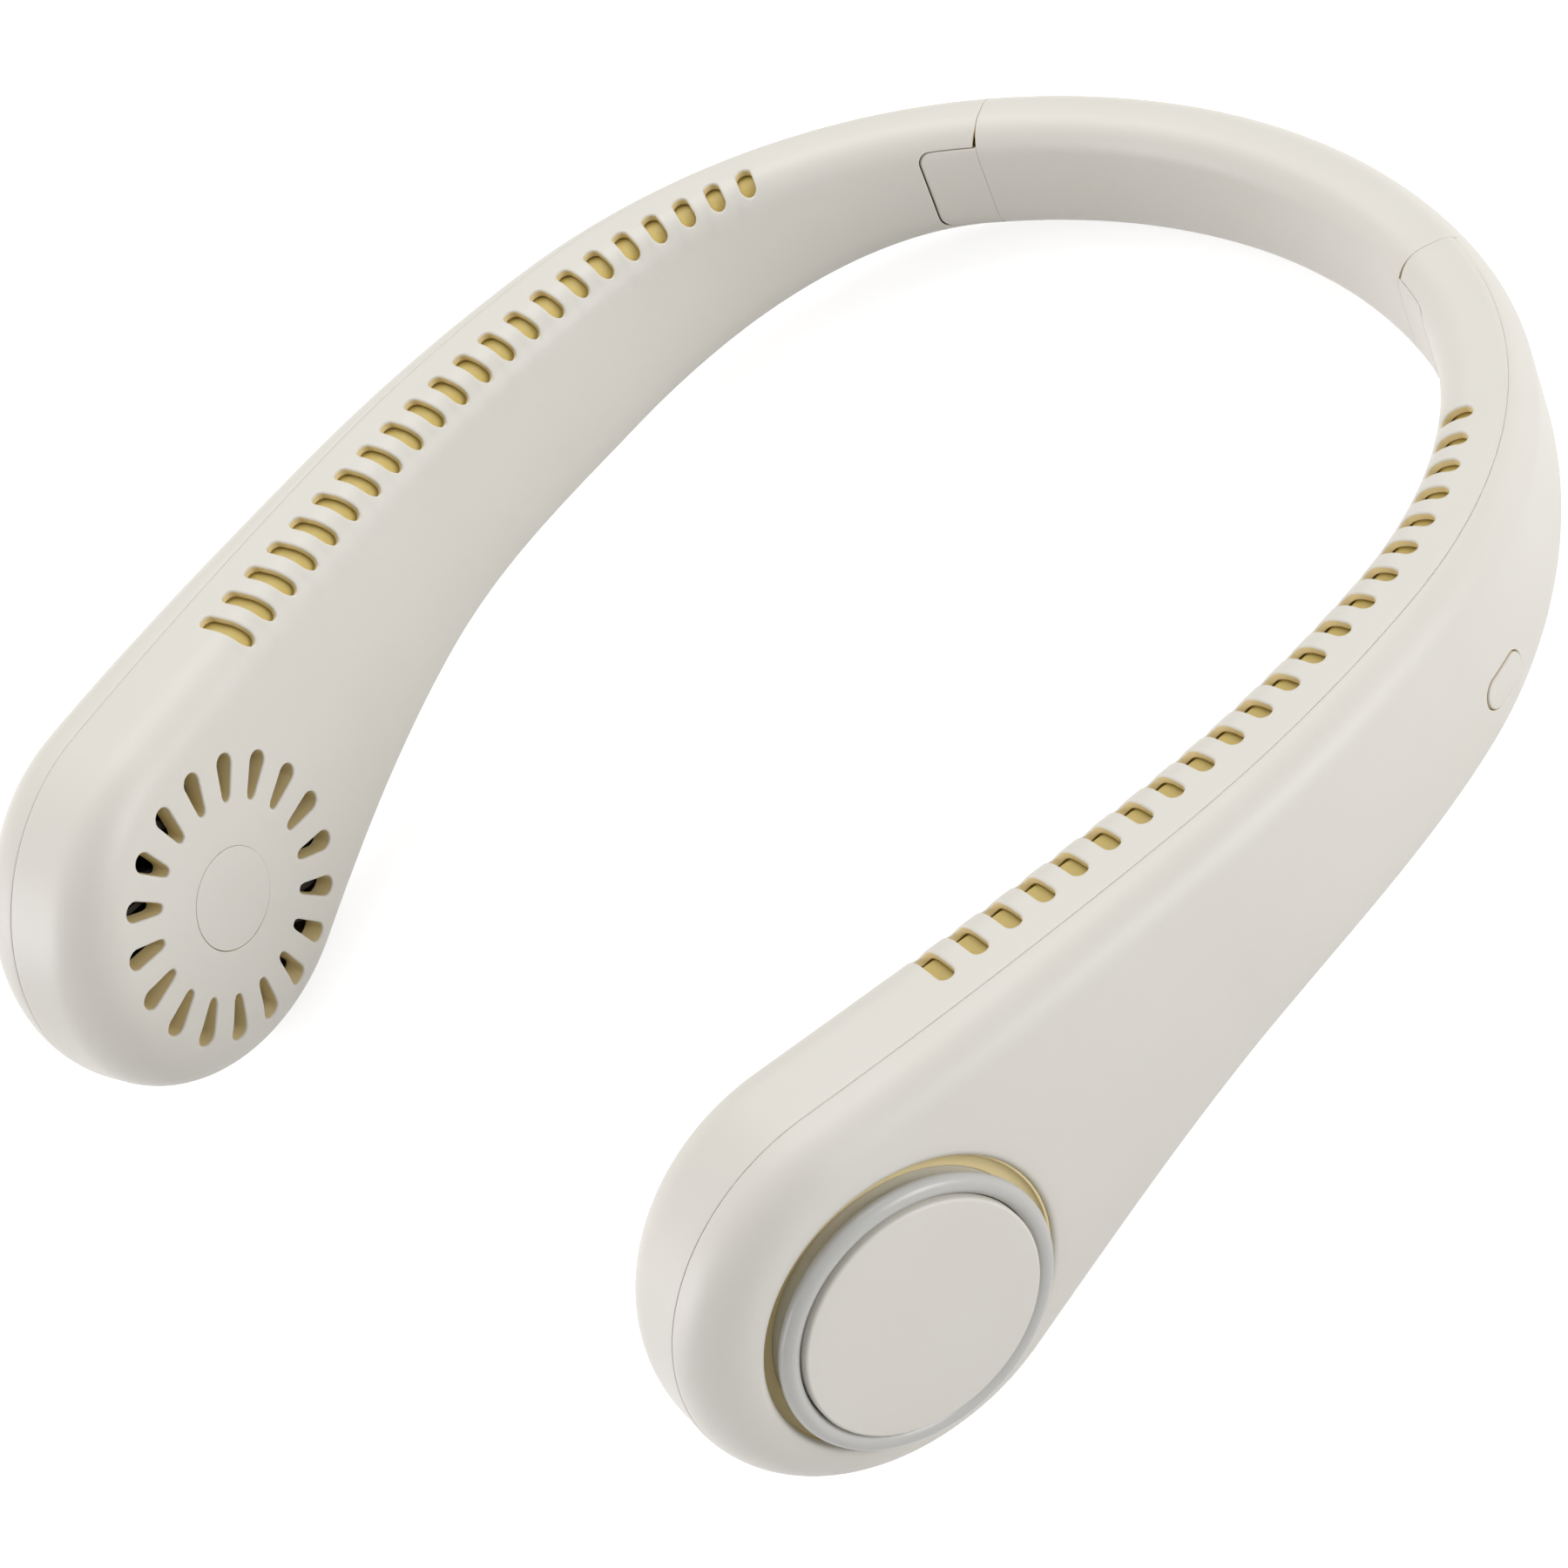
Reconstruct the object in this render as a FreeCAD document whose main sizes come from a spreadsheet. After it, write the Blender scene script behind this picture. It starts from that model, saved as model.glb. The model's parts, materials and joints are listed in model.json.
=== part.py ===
"""Electric neck fan: a U-shaped collar with a folding arm and a round turbine housing on each side.

The model is drawn in the collar's own frame (top edge on z = 0, rear of the neckband on +Y, the wearer's
left on +X) and every piece then gets one rest placement, which lays the collar on the ground.
"""
import FreeCAD
import Part
import math
import os
import Sketcher
from FreeCAD import Placement, Rotation, Vector

SIZES = (
    ("band_radius", 98.0, "plan radius of the neckband's middle line"),
    ("band_half_angle", 27.0, "half of the neckband's arc, in degrees"),
    ("shoulder_radius", 69.5, "plan radius where the arm turns forward"),
    ("shoulder_angle", 57.3, "turn of the shoulder arc, in degrees"),
    ("side_radius", 192.0, "plan radius along the side of the neck"),
    ("side_length", 45.6, "length of the side arc"),
    ("front_radius", 675.0, "plan radius of the forward stretch"),
    ("front_length", 57.0, "length of the forward stretch, up to the turbine's axis"),
    ("band_width", 11.6, "thickness of the neckband"),
    ("band_height", 18.8, "height of the neckband"),
    ("shoulder_width", 16.6, "arm thickness at the end of the shoulder arc"),
    ("shoulder_height", 29.6, "arm height at the end of the shoulder arc"),
    ("side_width", 19.3, "arm thickness at the end of the side arc"),
    ("side_height", 36.6, "arm height at the end of the side arc"),
    ("end_width", 22.8, "thickness of the round turbine housing"),
    ("end_radius", 28.6, "outline radius of the round turbine housing"),
    ("flare_angle", 26.5, "slope at which the lower edge meets the round outline, in degrees"),
    ("band_edge", 4.8, "edge rounding of the neckband"),
    ("end_inner_edge", 8.8, "edge rounding of the housing's neck side"),
    ("end_outer_edge", 5.5, "edge rounding of the housing's outer side"),
    ("wall", 2.0, "shell thickness"),
    ("parting_offset", 2.2, "arm parting line, outboard of the middle line"),
    ("band_parting", 4.0, "neckband parting line, outboard of the middle line"),
    ("parting_gap", 0.15, "open line between two shells"),
    ("seam_gap", 0.2, "open line between neckband and arm"),
    ("slot_count", 22, "air slots along the top of each arm"),
    ("slot_first", 35.8, "distance of the first slot from the hinge seam"),
    ("slot_pitch", 5.3, "spacing of the air slots"),
    ("slot_width", 2.5, "width of an air slot"),
    ("slot_start", 2.0, "outer end of the slots, inboard of the middle line"),
    ("slot_inset", 0.8, "distance of the slots' inner end from the neck side"),
    ("grille_count", 18, "radial slots in the inner grille"),
    ("grille_inner", 14.2, "radius where a grille slot begins"),
    ("grille_outer", 22.5, "radius where a grille slot ends"),
    ("grille_wide", 3.0, "slot width at its outer end"),
    ("grille_narrow", 1.6, "slot width at its inner end"),
    ("badge_radius", 7.5, "plain disc in the middle of the inner grille"),
    ("badge_thick", 0.6, "thickness of that disc"),
    ("badge_gap", 0.1, "open line round that disc"),
    ("hole_radius", 20.0, "intake hole in the outer cover"),
    ("hole_edge", 0.6, "rounding of the intake hole's edge"),
    ("ring_radius", 19.0, "outer radius of the intake ring"),
    ("ring_proud", 2.4, "height of the ring over the cover"),
    ("ring_round", 1.1, "rounding of the ring's crown"),
    ("cap_radius", 16.6, "radius of the plain intake cap"),
    ("cap_gap", 0.1, "open line between cap and ring"),
    ("cap_proud", 2.8, "height of the cap over the cover"),
    ("cap_thick", 1.6, "thickness of the cap"),
    ("cap_round", 0.4, "rounding of the cap's edge"),
    ("shelf_width", 2.0, "ledge in the ring that carries the cap"),
    ("foot_count", 3, "feet of the intake ring, with a screw each"),
    ("foot_turn", 90.0, "direction of the first foot, in degrees from the top towards the tip"),
    ("foot_gap", 0.4, "room between the feet and the cover"),
    ("foot_thick", 1.6, "thickness of the ring's feet"),
    ("foot_width", 6.0, "width of a foot"),
    ("foot_reach", 23.0, "radius that the feet reach under the cover"),
    ("foot_screw_radius", 21.9, "radius of the circle of foot screws"),
    ("boss_radius", 12.0, "motor boss on the inner shell"),
    ("boss_height", 1.2, "height of the motor boss"),
    ("base_thick", 1.0, "thickness of the motor base"),
    ("base_screw_count", 3, "screws of the motor base"),
    ("base_screw_radius", 10.6, "radius of the circle of motor base screws"),
    ("screw_radius", 0.8, "shank radius of the screws"),
    ("screw_head_radius", 1.3, "head radius of the screws"),
    ("screw_head_height", 0.8, "head height of the screws"),
    ("screw_grip", 1.6, "depth that a screw reaches into the plastic"),
    ("screw_clearance", 0.05, "radial room round a screw in the piece that it holds"),
    ("stator_radius", 7.0, "radius of the motor stator"),
    ("stator_height", 5.0, "height of the motor stator"),
    ("stator_teeth", 6, "winding slots of the stator"),
    ("stator_slot", 1.3, "radius of a winding slot"),
    ("bush_radius", 1.8, "outer radius of the shaft bushes"),
    ("bush_height", 1.5, "height of a shaft bush"),
    ("shaft_radius", 0.75, "radius of the motor shaft"),
    ("shaft_clearance", 0.03, "radial running room of the shaft"),
    ("magnet_radius", 8.5, "outer radius of the magnet ring"),
    ("magnet_thick", 0.9, "thickness of the magnet ring"),
    ("rotor_wall", 0.7, "wall of the rotor can"),
    ("rotor_lift", 0.8, "height of the can's rim over the motor base"),
    ("rotor_headroom", 0.6, "gap between stator and the can's plate"),
    ("rotor_plate", 0.8, "thickness of the can's plate"),
    ("impeller_radius", 21.5, "radius of the turbine"),
    ("impeller_hub_wall", 1.0, "wall of the turbine's hub"),
    ("impeller_plate", 1.0, "thickness of the turbine's middle plate"),
    ("impeller_room", 1.6, "gap between the blades and the inner shell, and under the ring's feet"),
    ("hub_lift", 1.4, "height of the hub's rim over the motor base"),
    ("blade_count", 25, "turbine blades"),
    ("blade_inner", 13.0, "radius where the blades begin"),
    ("blade_thick", 0.9, "blade thickness"),
    ("blade_lean", 35.0, "backward lean of the blades, in degrees"),
    ("scroll_gap", 1.6, "room between the turbine and the scroll wall"),
    ("scroll_wall", 1.0, "thickness of the scroll wall"),
    ("scroll_angle", 230.0, "arc of the scroll wall, in degrees"),
    ("fit_gap", 0.3, "room round the loose inner pieces"),
    ("floor_depth", 12.0, "depth of the air channel under the arm's top"),
    ("floor_thick", 1.2, "thickness of the channel floor"),
    ("floor_start", 30.0, "where the channel floor begins, from the hinge seam"),
    ("floor_tail", 30.0, "where the channel floor ends, short of the turbine's axis"),
    ("cell_length", 40.0, "length of the battery cell"),
    ("cell_height", 14.0, "height of the battery cell"),
    ("cell_thick", 8.0, "thickness of the battery cell"),
    ("cell_place", 100.0, "middle of the battery cell, from the hinge seam"),
    ("button_place", 64.4, "middle of the power button, from the hinge seam"),
    ("button_depth", 18.9, "depth of the power button under the arm's top"),
    ("button_length", 8.8, "length of the power button"),
    ("button_width", 4.4, "width of the power button"),
    ("button_gap", 0.2, "open line round the button"),
    ("button_proud", 0.2, "height of the button over the cover"),
    ("button_travel", 0.5, "press of the button"),
    ("flange_rim", 1.0, "rim that keeps the button in the cover"),
    ("flange_thick", 0.8, "thickness of that rim"),
    ("flange_drop", 0.5, "room between the rim and the curved wall"),
    ("plunger_gap", 0.15, "room left over the switch with the button pressed"),
    ("plunger_radius", 1.2, "radius of the switch plunger"),
    ("plunger_height", 0.4, "height of the switch plunger"),
    ("switch_side", 5.0, "side of the switch body"),
    ("switch_height", 2.4, "height of the switch body"),
    ("board_length", 20.0, "length of the control board"),
    ("board_height", 10.0, "height of the control board"),
    ("board_thick", 1.0, "thickness of the control board"),
    ("post_radius", 1.3, "radius of the posts that carry the board"),
    ("post_inset", 2.0, "distance of the posts from the board's ends"),
    ("socket_length", 8.94, "width of the charging socket"),
    ("socket_thick", 3.26, "height of the charging socket"),
    ("socket_depth", 7.3, "depth of the charging socket"),
    ("socket_wall", 0.3, "sheet thickness of the charging socket"),
    ("socket_sink", 0.4, "depth of the socket's mouth under the shell's face"),
    ("socket_gap", 0.15, "open line round the socket"),
    ("socket_tongue", 0.7, "thickness of the socket's tongue"),
    ("pin_reach", 5.5, "distance of the hinge pin from the seam"),
    ("pin_radius", 1.2, "radius of the hinge pin"),
    ("pin_clearance", 0.05, "radial running room of the hinge pin"),
    ("pin_cover", 1.2, "shell left over the ends of the hinge pin"),
    ("knuckle_radius", 3.5, "rounding of the hinge tongue about its pin"),
    ("knuckle_gap", 0.3, "room round the hinge tongue"),
    ("ear_thick", 3.0, "arm above and below the hinge tongue"),
    ("tongue_edge", 0.8, "edge rounding of the hinge tongue"),
    ("plug_length", 8.0, "length of the tongue's plug in the neckband"),
    ("plug_gap", 0.1, "room round that plug"),
    ("hinge_block", 14.0, "solid stretch of the arm round the hinge"),
    ("fold_angle", 15.0, "inward fold of an arm, in degrees"),
    ("fold_spare", 2.0, "spare angle of the relief at the hinge, in degrees"),
    ("lead_radius", 1.2, "radius of the lead in the neckband"),
)

DERIVED = (
    ("cover_level", "end_width - wall"),
    ("cap_top", "end_width + cap_proud"),
    ("cap_seat", "cap_top - cap_thick"),
    ("ring_top", "end_width + ring_proud"),
    ("ring_foot", "cover_level - foot_gap - foot_thick"),
    ("ring_bore", "cap_radius + cap_gap"),
    ("shelf_bore", "ring_bore - shelf_width"),
    ("boss_top", "wall + boss_height"),
    ("base_top", "boss_top + base_thick"),
    ("rotor_rim", "base_top + rotor_lift"),
    ("rotor_inside", "base_top + stator_height + rotor_headroom"),
    ("rotor_top", "rotor_inside + rotor_plate"),
    ("rotor_radius", "magnet_radius + rotor_wall"),
    ("hub_rim", "base_top + hub_lift"),
    ("hub_radius", "rotor_radius + impeller_hub_wall"),
    ("plate_top", "rotor_top + impeller_plate"),
    ("blade_bottom", "wall + impeller_room"),
    ("blade_top", "ring_foot - screw_head_height - impeller_room"),
    ("blade_back", "blade_inner * cos(blade_lean)"),
    ("blade_length", "sqrt(impeller_radius ^ 2 - blade_inner ^ 2 + blade_back ^ 2) - blade_back"),
    ("screw_bore", "screw_radius + screw_clearance"),
    ("shaft_foot", "boss_top + fit_gap"),
)

doc = FreeCAD.newDocument("NeckFan")
sheet = doc.addObject("Spreadsheet::Sheet", "Sizes")
for row, (alias, number, note) in enumerate(SIZES, start=1):
    sheet.set("A%d" % row, note)
    sheet.set("B%d" % row, str(number))
    sheet.setAlias("B%d" % row, alias)
for row, (alias, formula) in enumerate(DERIVED, start=len(SIZES) + 1):
    sheet.set("B%d" % row, "=" + formula)
    sheet.setAlias("B%d" % row, alias)
doc.recompute()


def size(alias):
    """Value of a named cell."""
    return float(sheet.get(alias))


def count(alias):
    """Whole value of a named cell."""
    return int(round(size(alias)))


def hermite(share, length, start, end, start_slope, end_slope):
    """Cubic between two stations with given values and slopes; share runs from 0 to 1."""
    rise = (2 * share ** 3 - 3 * share ** 2 + 1) * start + (3 * share ** 2 - 2 * share ** 3) * end
    lead = (share ** 3 - 2 * share ** 2 + share) * start_slope
    tail = (share ** 3 - share ** 2) * end_slope
    return rise + length * (lead + tail)


# Plan of the collar: tangent arcs from the rear of the neckband to the turbine's axis
ARCS = (
    (size("band_radius"), size("band_radius") * math.radians(size("band_half_angle"))),
    (size("shoulder_radius"), size("shoulder_radius") * math.radians(size("shoulder_angle"))),
    (size("side_radius"), size("side_length")),
    (size("front_radius"), size("front_length")),
)
SEAM = ARCS[0][1]
SHOULDER_END = SEAM + ARCS[1][1]
SIDE_END = SHOULDER_END + ARCS[2][1]
AXIS_PLACE = SIDE_END + ARCS[3][1]
UP = Vector(0, 0, 1)


def plan_arcs():
    """Radius, length, start place, start heading and centre of each arc."""
    place = 0.0
    heading = 0.0
    point = Vector(0, ARCS[0][0], 0)
    rows = []
    for radius, length in ARCS:
        centre = point - radius * Vector(math.sin(heading), math.cos(heading), 0)
        rows.append((radius, length, place, heading, centre))
        heading += length / radius
        place += length
        point = centre + radius * Vector(math.sin(heading), math.cos(heading), 0)
    return rows


PLAN = plan_arcs()


def spine(place):
    """Point, forward direction and outward direction of the middle line on the left side."""
    row = [arc for arc in PLAN if arc[2] <= place + 1e-9][-1]
    radius, _, start, heading, centre = row
    turn = heading + (place - start) / radius
    outward = Vector(math.sin(turn), math.cos(turn), 0)
    forward = Vector(math.cos(turn), -math.sin(turn), 0)
    return centre + radius * outward, forward, outward


# Height and thickness of the arm along the middle line
FLARE = math.radians(size("flare_angle"))
FLARE_PLACE = AXIS_PLACE - size("end_radius") * math.sin(FLARE)
FLARE_DEPTH = size("end_radius") * (1 + math.cos(FLARE))
STATIONS = (SEAM, SHOULDER_END, SIDE_END)


def through_stations(place, values, last_place, last_slope):
    """Smooth value along the arm, level at the seam, through the stations and on to the last one."""
    places = STATIONS + (last_place,)
    slopes = [0.0]
    for k in (1, 2):
        slopes.append((values[k + 1] - values[k - 1]) / (places[k + 1] - places[k - 1]))
    slopes.append(last_slope)
    k = max(i for i in range(3) if i == 0 or place >= places[i])
    length = places[k + 1] - places[k]
    share = (place - places[k]) / length
    return hermite(share, length, values[k], values[k + 1], slopes[k], slopes[k + 1])


def arm_height(place):
    """Depth of the lower edge under the top edge; the last stretch follows the round outline."""
    if place > FLARE_PLACE:
        run = place - AXIS_PLACE
        return size("end_radius") + math.sqrt(size("end_radius") ** 2 - run ** 2)
    values = (size("band_height"), size("shoulder_height"), size("side_height"), FLARE_DEPTH)
    return through_stations(place, values, FLARE_PLACE, math.tan(FLARE))


def arm_width(place):
    """Thickness of the arm."""
    values = (size("band_width"), size("shoulder_width"), size("side_width"), size("end_width"))
    return through_stations(place, values, AXIS_PLACE, 0.0)


def arm_edges(place):
    """Inner and outer edge rounding, which grow from the neckband's to the housing's."""
    share = (place - SEAM) / (AXIS_PLACE - SEAM)
    inner = size("band_edge") + share * (size("end_inner_edge") - size("band_edge"))
    outer = size("band_edge") + share * (size("end_outer_edge") - size("band_edge"))
    return inner, outer


def rounded_outline(low, high, bottom, top, inner, outer):
    """Edges of a rounded rectangle in (offset, height), from the middle of the inner side round."""
    middle = (bottom + top) / 2
    diagonal = 1 - math.sqrt(0.5)

    def corner(offset, height, off_sign, up_sign, radius):
        """Start, middle and end of a corner arc, the end being on the top or bottom side."""
        on_side = (offset, height - up_sign * radius)
        between = (offset - off_sign * radius * diagonal, height - up_sign * radius * diagonal)
        on_level = (offset - off_sign * radius, height)
        return on_side, between, on_level

    a = corner(low, top, -1, 1, inner)
    b = corner(high, top, 1, 1, outer)
    c = corner(high, bottom, 1, -1, outer)
    d = corner(low, bottom, -1, -1, inner)
    return [((low, middle), a[0]), a, (a[2], b[2]), b[::-1], (b[0], (high, middle)),
            ((high, middle), c[0]), c, (c[2], d[2]), d[::-1], (d[0], (low, middle))]


def drawn(outline, origin, outward):
    """Edges in space of an outline given in (offset, height)."""
    edges = []
    for points in outline:
        placed = [origin + outward * p[0] + UP * p[1] for p in points]
        if len(placed) == 2:
            edges.append(Part.makeLine(placed[0], placed[1]))
        else:
            edges.append(Part.Arc(placed[0], placed[1], placed[2]).toShape())
    return edges


def arm_outline(place, inset):
    """Rounded outline of the arm at a place, drawn in by an inset."""
    half = arm_width(place) / 2 - inset
    inner, outer = arm_edges(place)
    bottom = inset - arm_height(place)
    return rounded_outline(-half, half, bottom, -inset, inner - inset, outer - inset)


SECTION_COUNT = 13
ROUND_SECTIONS = 4


def arm_solid(start, inset):
    """Arm from a start place to the tip: a loft up to the turbine's axis and half a turned disc."""
    places = [start + (FLARE_PLACE - start) * k / SECTION_COUNT for k in range(SECTION_COUNT + 1)]
    for k in range(1, ROUND_SECTIONS + 1):
        angle = FLARE * (1 - k / ROUND_SECTIONS)
        places.append(AXIS_PLACE - size("end_radius") * math.sin(angle))
    wires = []
    for place in places:
        origin, _, outward = spine(place)
        wires.append(Part.Wire(drawn(arm_outline(place, inset), origin, outward)))
    body = Part.makeLoft(wires, True)
    origin, _, outward = spine(AXIS_PLACE)
    upper = drawn(arm_outline(AXIS_PLACE, inset)[:5], origin, outward)
    upper.append(Part.makeLine(upper[-1].Vertexes[-1].Point, upper[0].Vertexes[0].Point))
    centre = origin - UP * size("end_radius")
    half_disc = Part.Face(Part.Wire(upper)).revolve(centre, outward, 180)
    return body.fuse(half_disc)


def plan_strip(near, far, start, low, high):
    """Upright solid between two offsets of the arm's middle line, from a start place past the tip."""
    def edge_run(offset):
        """Edges of one offset line, forward."""
        run = []
        first, ahead, outward = spine(start)
        begin_at = first + outward * offset
        run.append(Part.makeLine(begin_at - ahead * size("end_radius"), begin_at))
        for _, length, begin, _, _ in PLAN[1:]:
            stops = [max(begin, start), begin + length]
            if stops[1] <= stops[0]:
                continue
            stops.insert(1, (stops[0] + stops[1]) / 2)
            points = [spine(p)[0] + spine(p)[2] * offset for p in stops]
            run.append(Part.Arc(points[0], points[1], points[2]).toShape())
        last, ahead, outward = spine(AXIS_PLACE)
        tip = last + outward * offset
        run.append(Part.makeLine(tip, tip + ahead * 2 * size("end_radius")))
        return run

    inner = edge_run(near)
    outer = edge_run(far)
    joins = [Part.makeLine(inner[0].Vertexes[0].Point, outer[0].Vertexes[0].Point),
             Part.makeLine(inner[-1].Vertexes[-1].Point, outer[-1].Vertexes[-1].Point)]
    face = Part.Face(Part.Wire(Part.__sortEdges__(inner + outer + joins)))
    face.translate(UP * low)
    return face.extrude(UP * (high - low))


# Frames on the collar: x forward or up, z outward
def frame_at(origin, x_axis, z_axis):
    """Placement whose local x and z run along the given directions."""
    return Placement(origin, Rotation(x_axis, z_axis.cross(x_axis), z_axis, "ZXY"))


def axis_frame():
    """Turbine axis of the left side: origin on the inner face, z outward, x up."""
    origin, _, outward = spine(AXIS_PLACE)
    return frame_at(origin - outward * size("end_width") / 2 - UP * size("end_radius"), UP, outward)


def face_frame(place, depth):
    """Left arm's outer face at a place and depth: z outward, x forward."""
    origin, forward, outward = spine(place)
    return frame_at(origin + outward * arm_width(place) / 2 - UP * depth, forward, outward)


def seam_frame():
    """Left hinge seam at the top edge: x forward, y up, z outward, so that flat shapes lie in x and z."""
    origin, forward, outward = spine(SEAM)
    return frame_at(origin, forward, outward)


def mirrored(placement):
    """The same frame on the right side; its y axis turns over, so that the frame stays right-handed."""
    base = placement.Base
    x_axis = placement.Rotation.multVec(Vector(1, 0, 0))
    z_axis = placement.Rotation.multVec(Vector(0, 0, 1))
    return frame_at(Vector(-base.x, base.y, base.z), Vector(-x_axis.x, x_axis.y, x_axis.z),
                    Vector(-z_axis.x, z_axis.y, z_axis.z))


AXIS = axis_frame()
SIDES = (("left", 1), ("right", -1))


def on_side(side, placement):
    """Frame for a side, given the left one."""
    return placement if side > 0 else mirrored(placement)


def shape_on_side(side, shape):
    """Shape for a side, given the left one."""
    return shape if side > 0 else shape.mirror(Vector(0, 0, 0), Vector(1, 0, 0))


# Rest placement: the collar lies on both round housings and on the rear of the neckband
def disc_reach(direction):
    """Furthest point of the left round housing along a direction."""
    origin, _, outward = spine(AXIS_PLACE)
    centre = origin - UP * size("end_radius")
    along = direction.dot(outward)
    across = math.sqrt(max(0.0, 1 - along ** 2))
    edge = size("end_outer_edge") if along > 0 else size("end_inner_edge")
    rim = (size("end_radius") - edge) * across + (size("end_width") / 2 - edge) * abs(along) + edge
    return centre.dot(direction) + rim


def band_reach(direction):
    """Furthest point of the neckband's rear section along a direction."""
    half = size("band_width") / 2 - size("band_edge")
    rear = size("band_radius") + half
    height = -size("band_edge") if direction.z > 0 else size("band_edge") - size("band_height")
    return rear * direction.y + height * direction.z + size("band_edge")


def resting_tilt():
    """Angle at which the housings and the neckband are equally low, by halving."""
    low, high = 0.0, math.radians(45)
    for _ in range(50):
        tilt = (low + high) / 2
        down = Vector(0, math.sin(tilt), -math.cos(tilt))
        if disc_reach(down) > band_reach(down):
            low = tilt
        else:
            high = tilt
    return low


TILT = resting_tilt()
DOWN = Vector(0, math.sin(TILT), -math.cos(TILT))
REAR = Vector(0, math.cos(TILT), math.sin(TILT))
REST_LIFT = disc_reach(DOWN)
REST_SHIFT = (disc_reach(-REAR) - band_reach(REAR)) / 2
REST = Placement(Vector(0, REST_SHIFT, REST_LIFT), Rotation(Vector(1, 0, 0), -math.degrees(TILT)))

pieces = []


def keep(piece, label, placement):
    """Name a piece, put it in its place and list it for writing."""
    piece.Label = label
    piece.Placement = REST.multiply(placement)
    pieces.append(piece)
    return piece


def shape_piece(label, shape):
    """Piece whose shape is worked out in the collar's frame."""
    piece = doc.addObject("Part::Feature", label)
    piece.Shape = shape
    return keep(piece, label, shape.Placement)


def solid_of(result):
    """The single solid of a boolean result."""
    if len(result.Solids) != 1:
        raise ValueError("expected one solid, got %d" % len(result.Solids))
    return result.Solids[0]


def bound(kind, label, **cells):
    """Primitive whose properties follow named cells."""
    item = doc.addObject(kind, label)
    for prop, expression in cells.items():
        item.setExpression(prop, expression)
    return item


def cut(label, base, tool):
    """Base with a tool taken away."""
    result = doc.addObject("Part::Cut", label)
    result.Base = base
    result.Tool = tool
    return result


def origin_plane(body, role):
    """One of a body's own origin planes."""
    return [f for f in body.Origin.OriginFeatures if f.Role == role][0]


def new_sketch(body, name, role):
    """Sketch on one of the body's origin planes."""
    sketch = body.newObject("Sketcher::SketchObject", name)
    sketch.AttachmentSupport = [(origin_plane(body, role), "")]
    sketch.MapMode = "FlatFace"
    return sketch


def pin_to(sketch, kind, geometry, corner, alias):
    """Hold a corner at a cell's distance from an axis, or on the axis where no cell is named."""
    if alias is None:
        axis = -2 if kind == "DistanceX" else -1
        sketch.addConstraint(Sketcher.Constraint("PointOnObject", geometry, corner, axis))
        return
    index = sketch.addConstraint(Sketcher.Constraint(kind, -1, 1, geometry, corner, size(alias)))
    sketch.setExpression("Constraints[%d]" % index, "Sizes." + alias)


def corner_outline(sketch, corners):
    """Closed outline whose corners are pairs of named cells; None puts a corner on the axis."""
    points = [Vector(size(x) if x else 0, size(y) if y else 0, 0) for x, y in corners]
    total = len(points)
    for k, point in enumerate(points):
        sketch.addGeometry(Part.LineSegment(point, points[(k + 1) % total]), False)
    for k in range(total):
        sketch.addConstraint(Sketcher.Constraint("Coincident", k, 2, (k + 1) % total, 1))
    for k, (x, y) in enumerate(corners):
        pin_to(sketch, "DistanceX", k, 1, x)
        pin_to(sketch, "DistanceY", k, 1, y)


def turned(body, name, corners):
    """Full turn of a named outline about the body's z axis."""
    sketch = new_sketch(body, name + "_outline", "XZ_Plane")
    corner_outline(sketch, corners)
    turn = body.newObject("PartDesign::Revolution", name)
    turn.Profile = sketch
    turn.ReferenceAxis = (sketch, ["V_Axis"])
    turn.Angle = 360
    sketch.Visibility = False
    return turn


def round_edges(body, name, base, alias, wanted):
    """Fillet on the base's edges that the test picks, with a radius from a cell."""
    doc.recompute()
    names = ["Edge%d" % (k + 1) for k, edge in enumerate(base.Shape.Edges) if wanted(edge)]
    fillet = body.newObject("PartDesign::Fillet", name)
    fillet.Base = (base, names)
    fillet.Radius = size(alias)
    fillet.setExpression("Radius", "Sizes." + alias)
    return fillet


def circle_at(edge, radius, level):
    """Whether an edge is a circle of a radius at a level of the body's z axis."""
    curve = edge.Curve
    if not isinstance(curve, Part.Circle):
        return False
    return abs(curve.Radius - radius) < 1e-4 and abs(edge.CenterOfMass.z - level) < 1e-4


# Shells of the arms
def axis_cylinder(radius, low, high):
    """Cylinder about the left turbine axis, between two levels over the inner face."""
    base = AXIS.multVec(Vector(0, 0, low))
    return Part.makeCylinder(radius, high - low, base, AXIS.Rotation.multVec(Vector(0, 0, 1)))


def around_axis(radius, total, low, high, turn, first_turn=0.0):
    """Cylinders spaced round the left turbine axis, the first at an angle from the top to the tip."""
    first = Part.makeCylinder(radius, high - low, Vector(turn, 0, low))
    ring = []
    for k in range(total):
        copy = first.copy()
        copy.rotate(Vector(0, 0, 0), Vector(0, 0, 1), first_turn + 360.0 * k / total)
        copy.Placement = AXIS.multiply(copy.Placement)
        ring.append(copy)
    return ring


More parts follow.
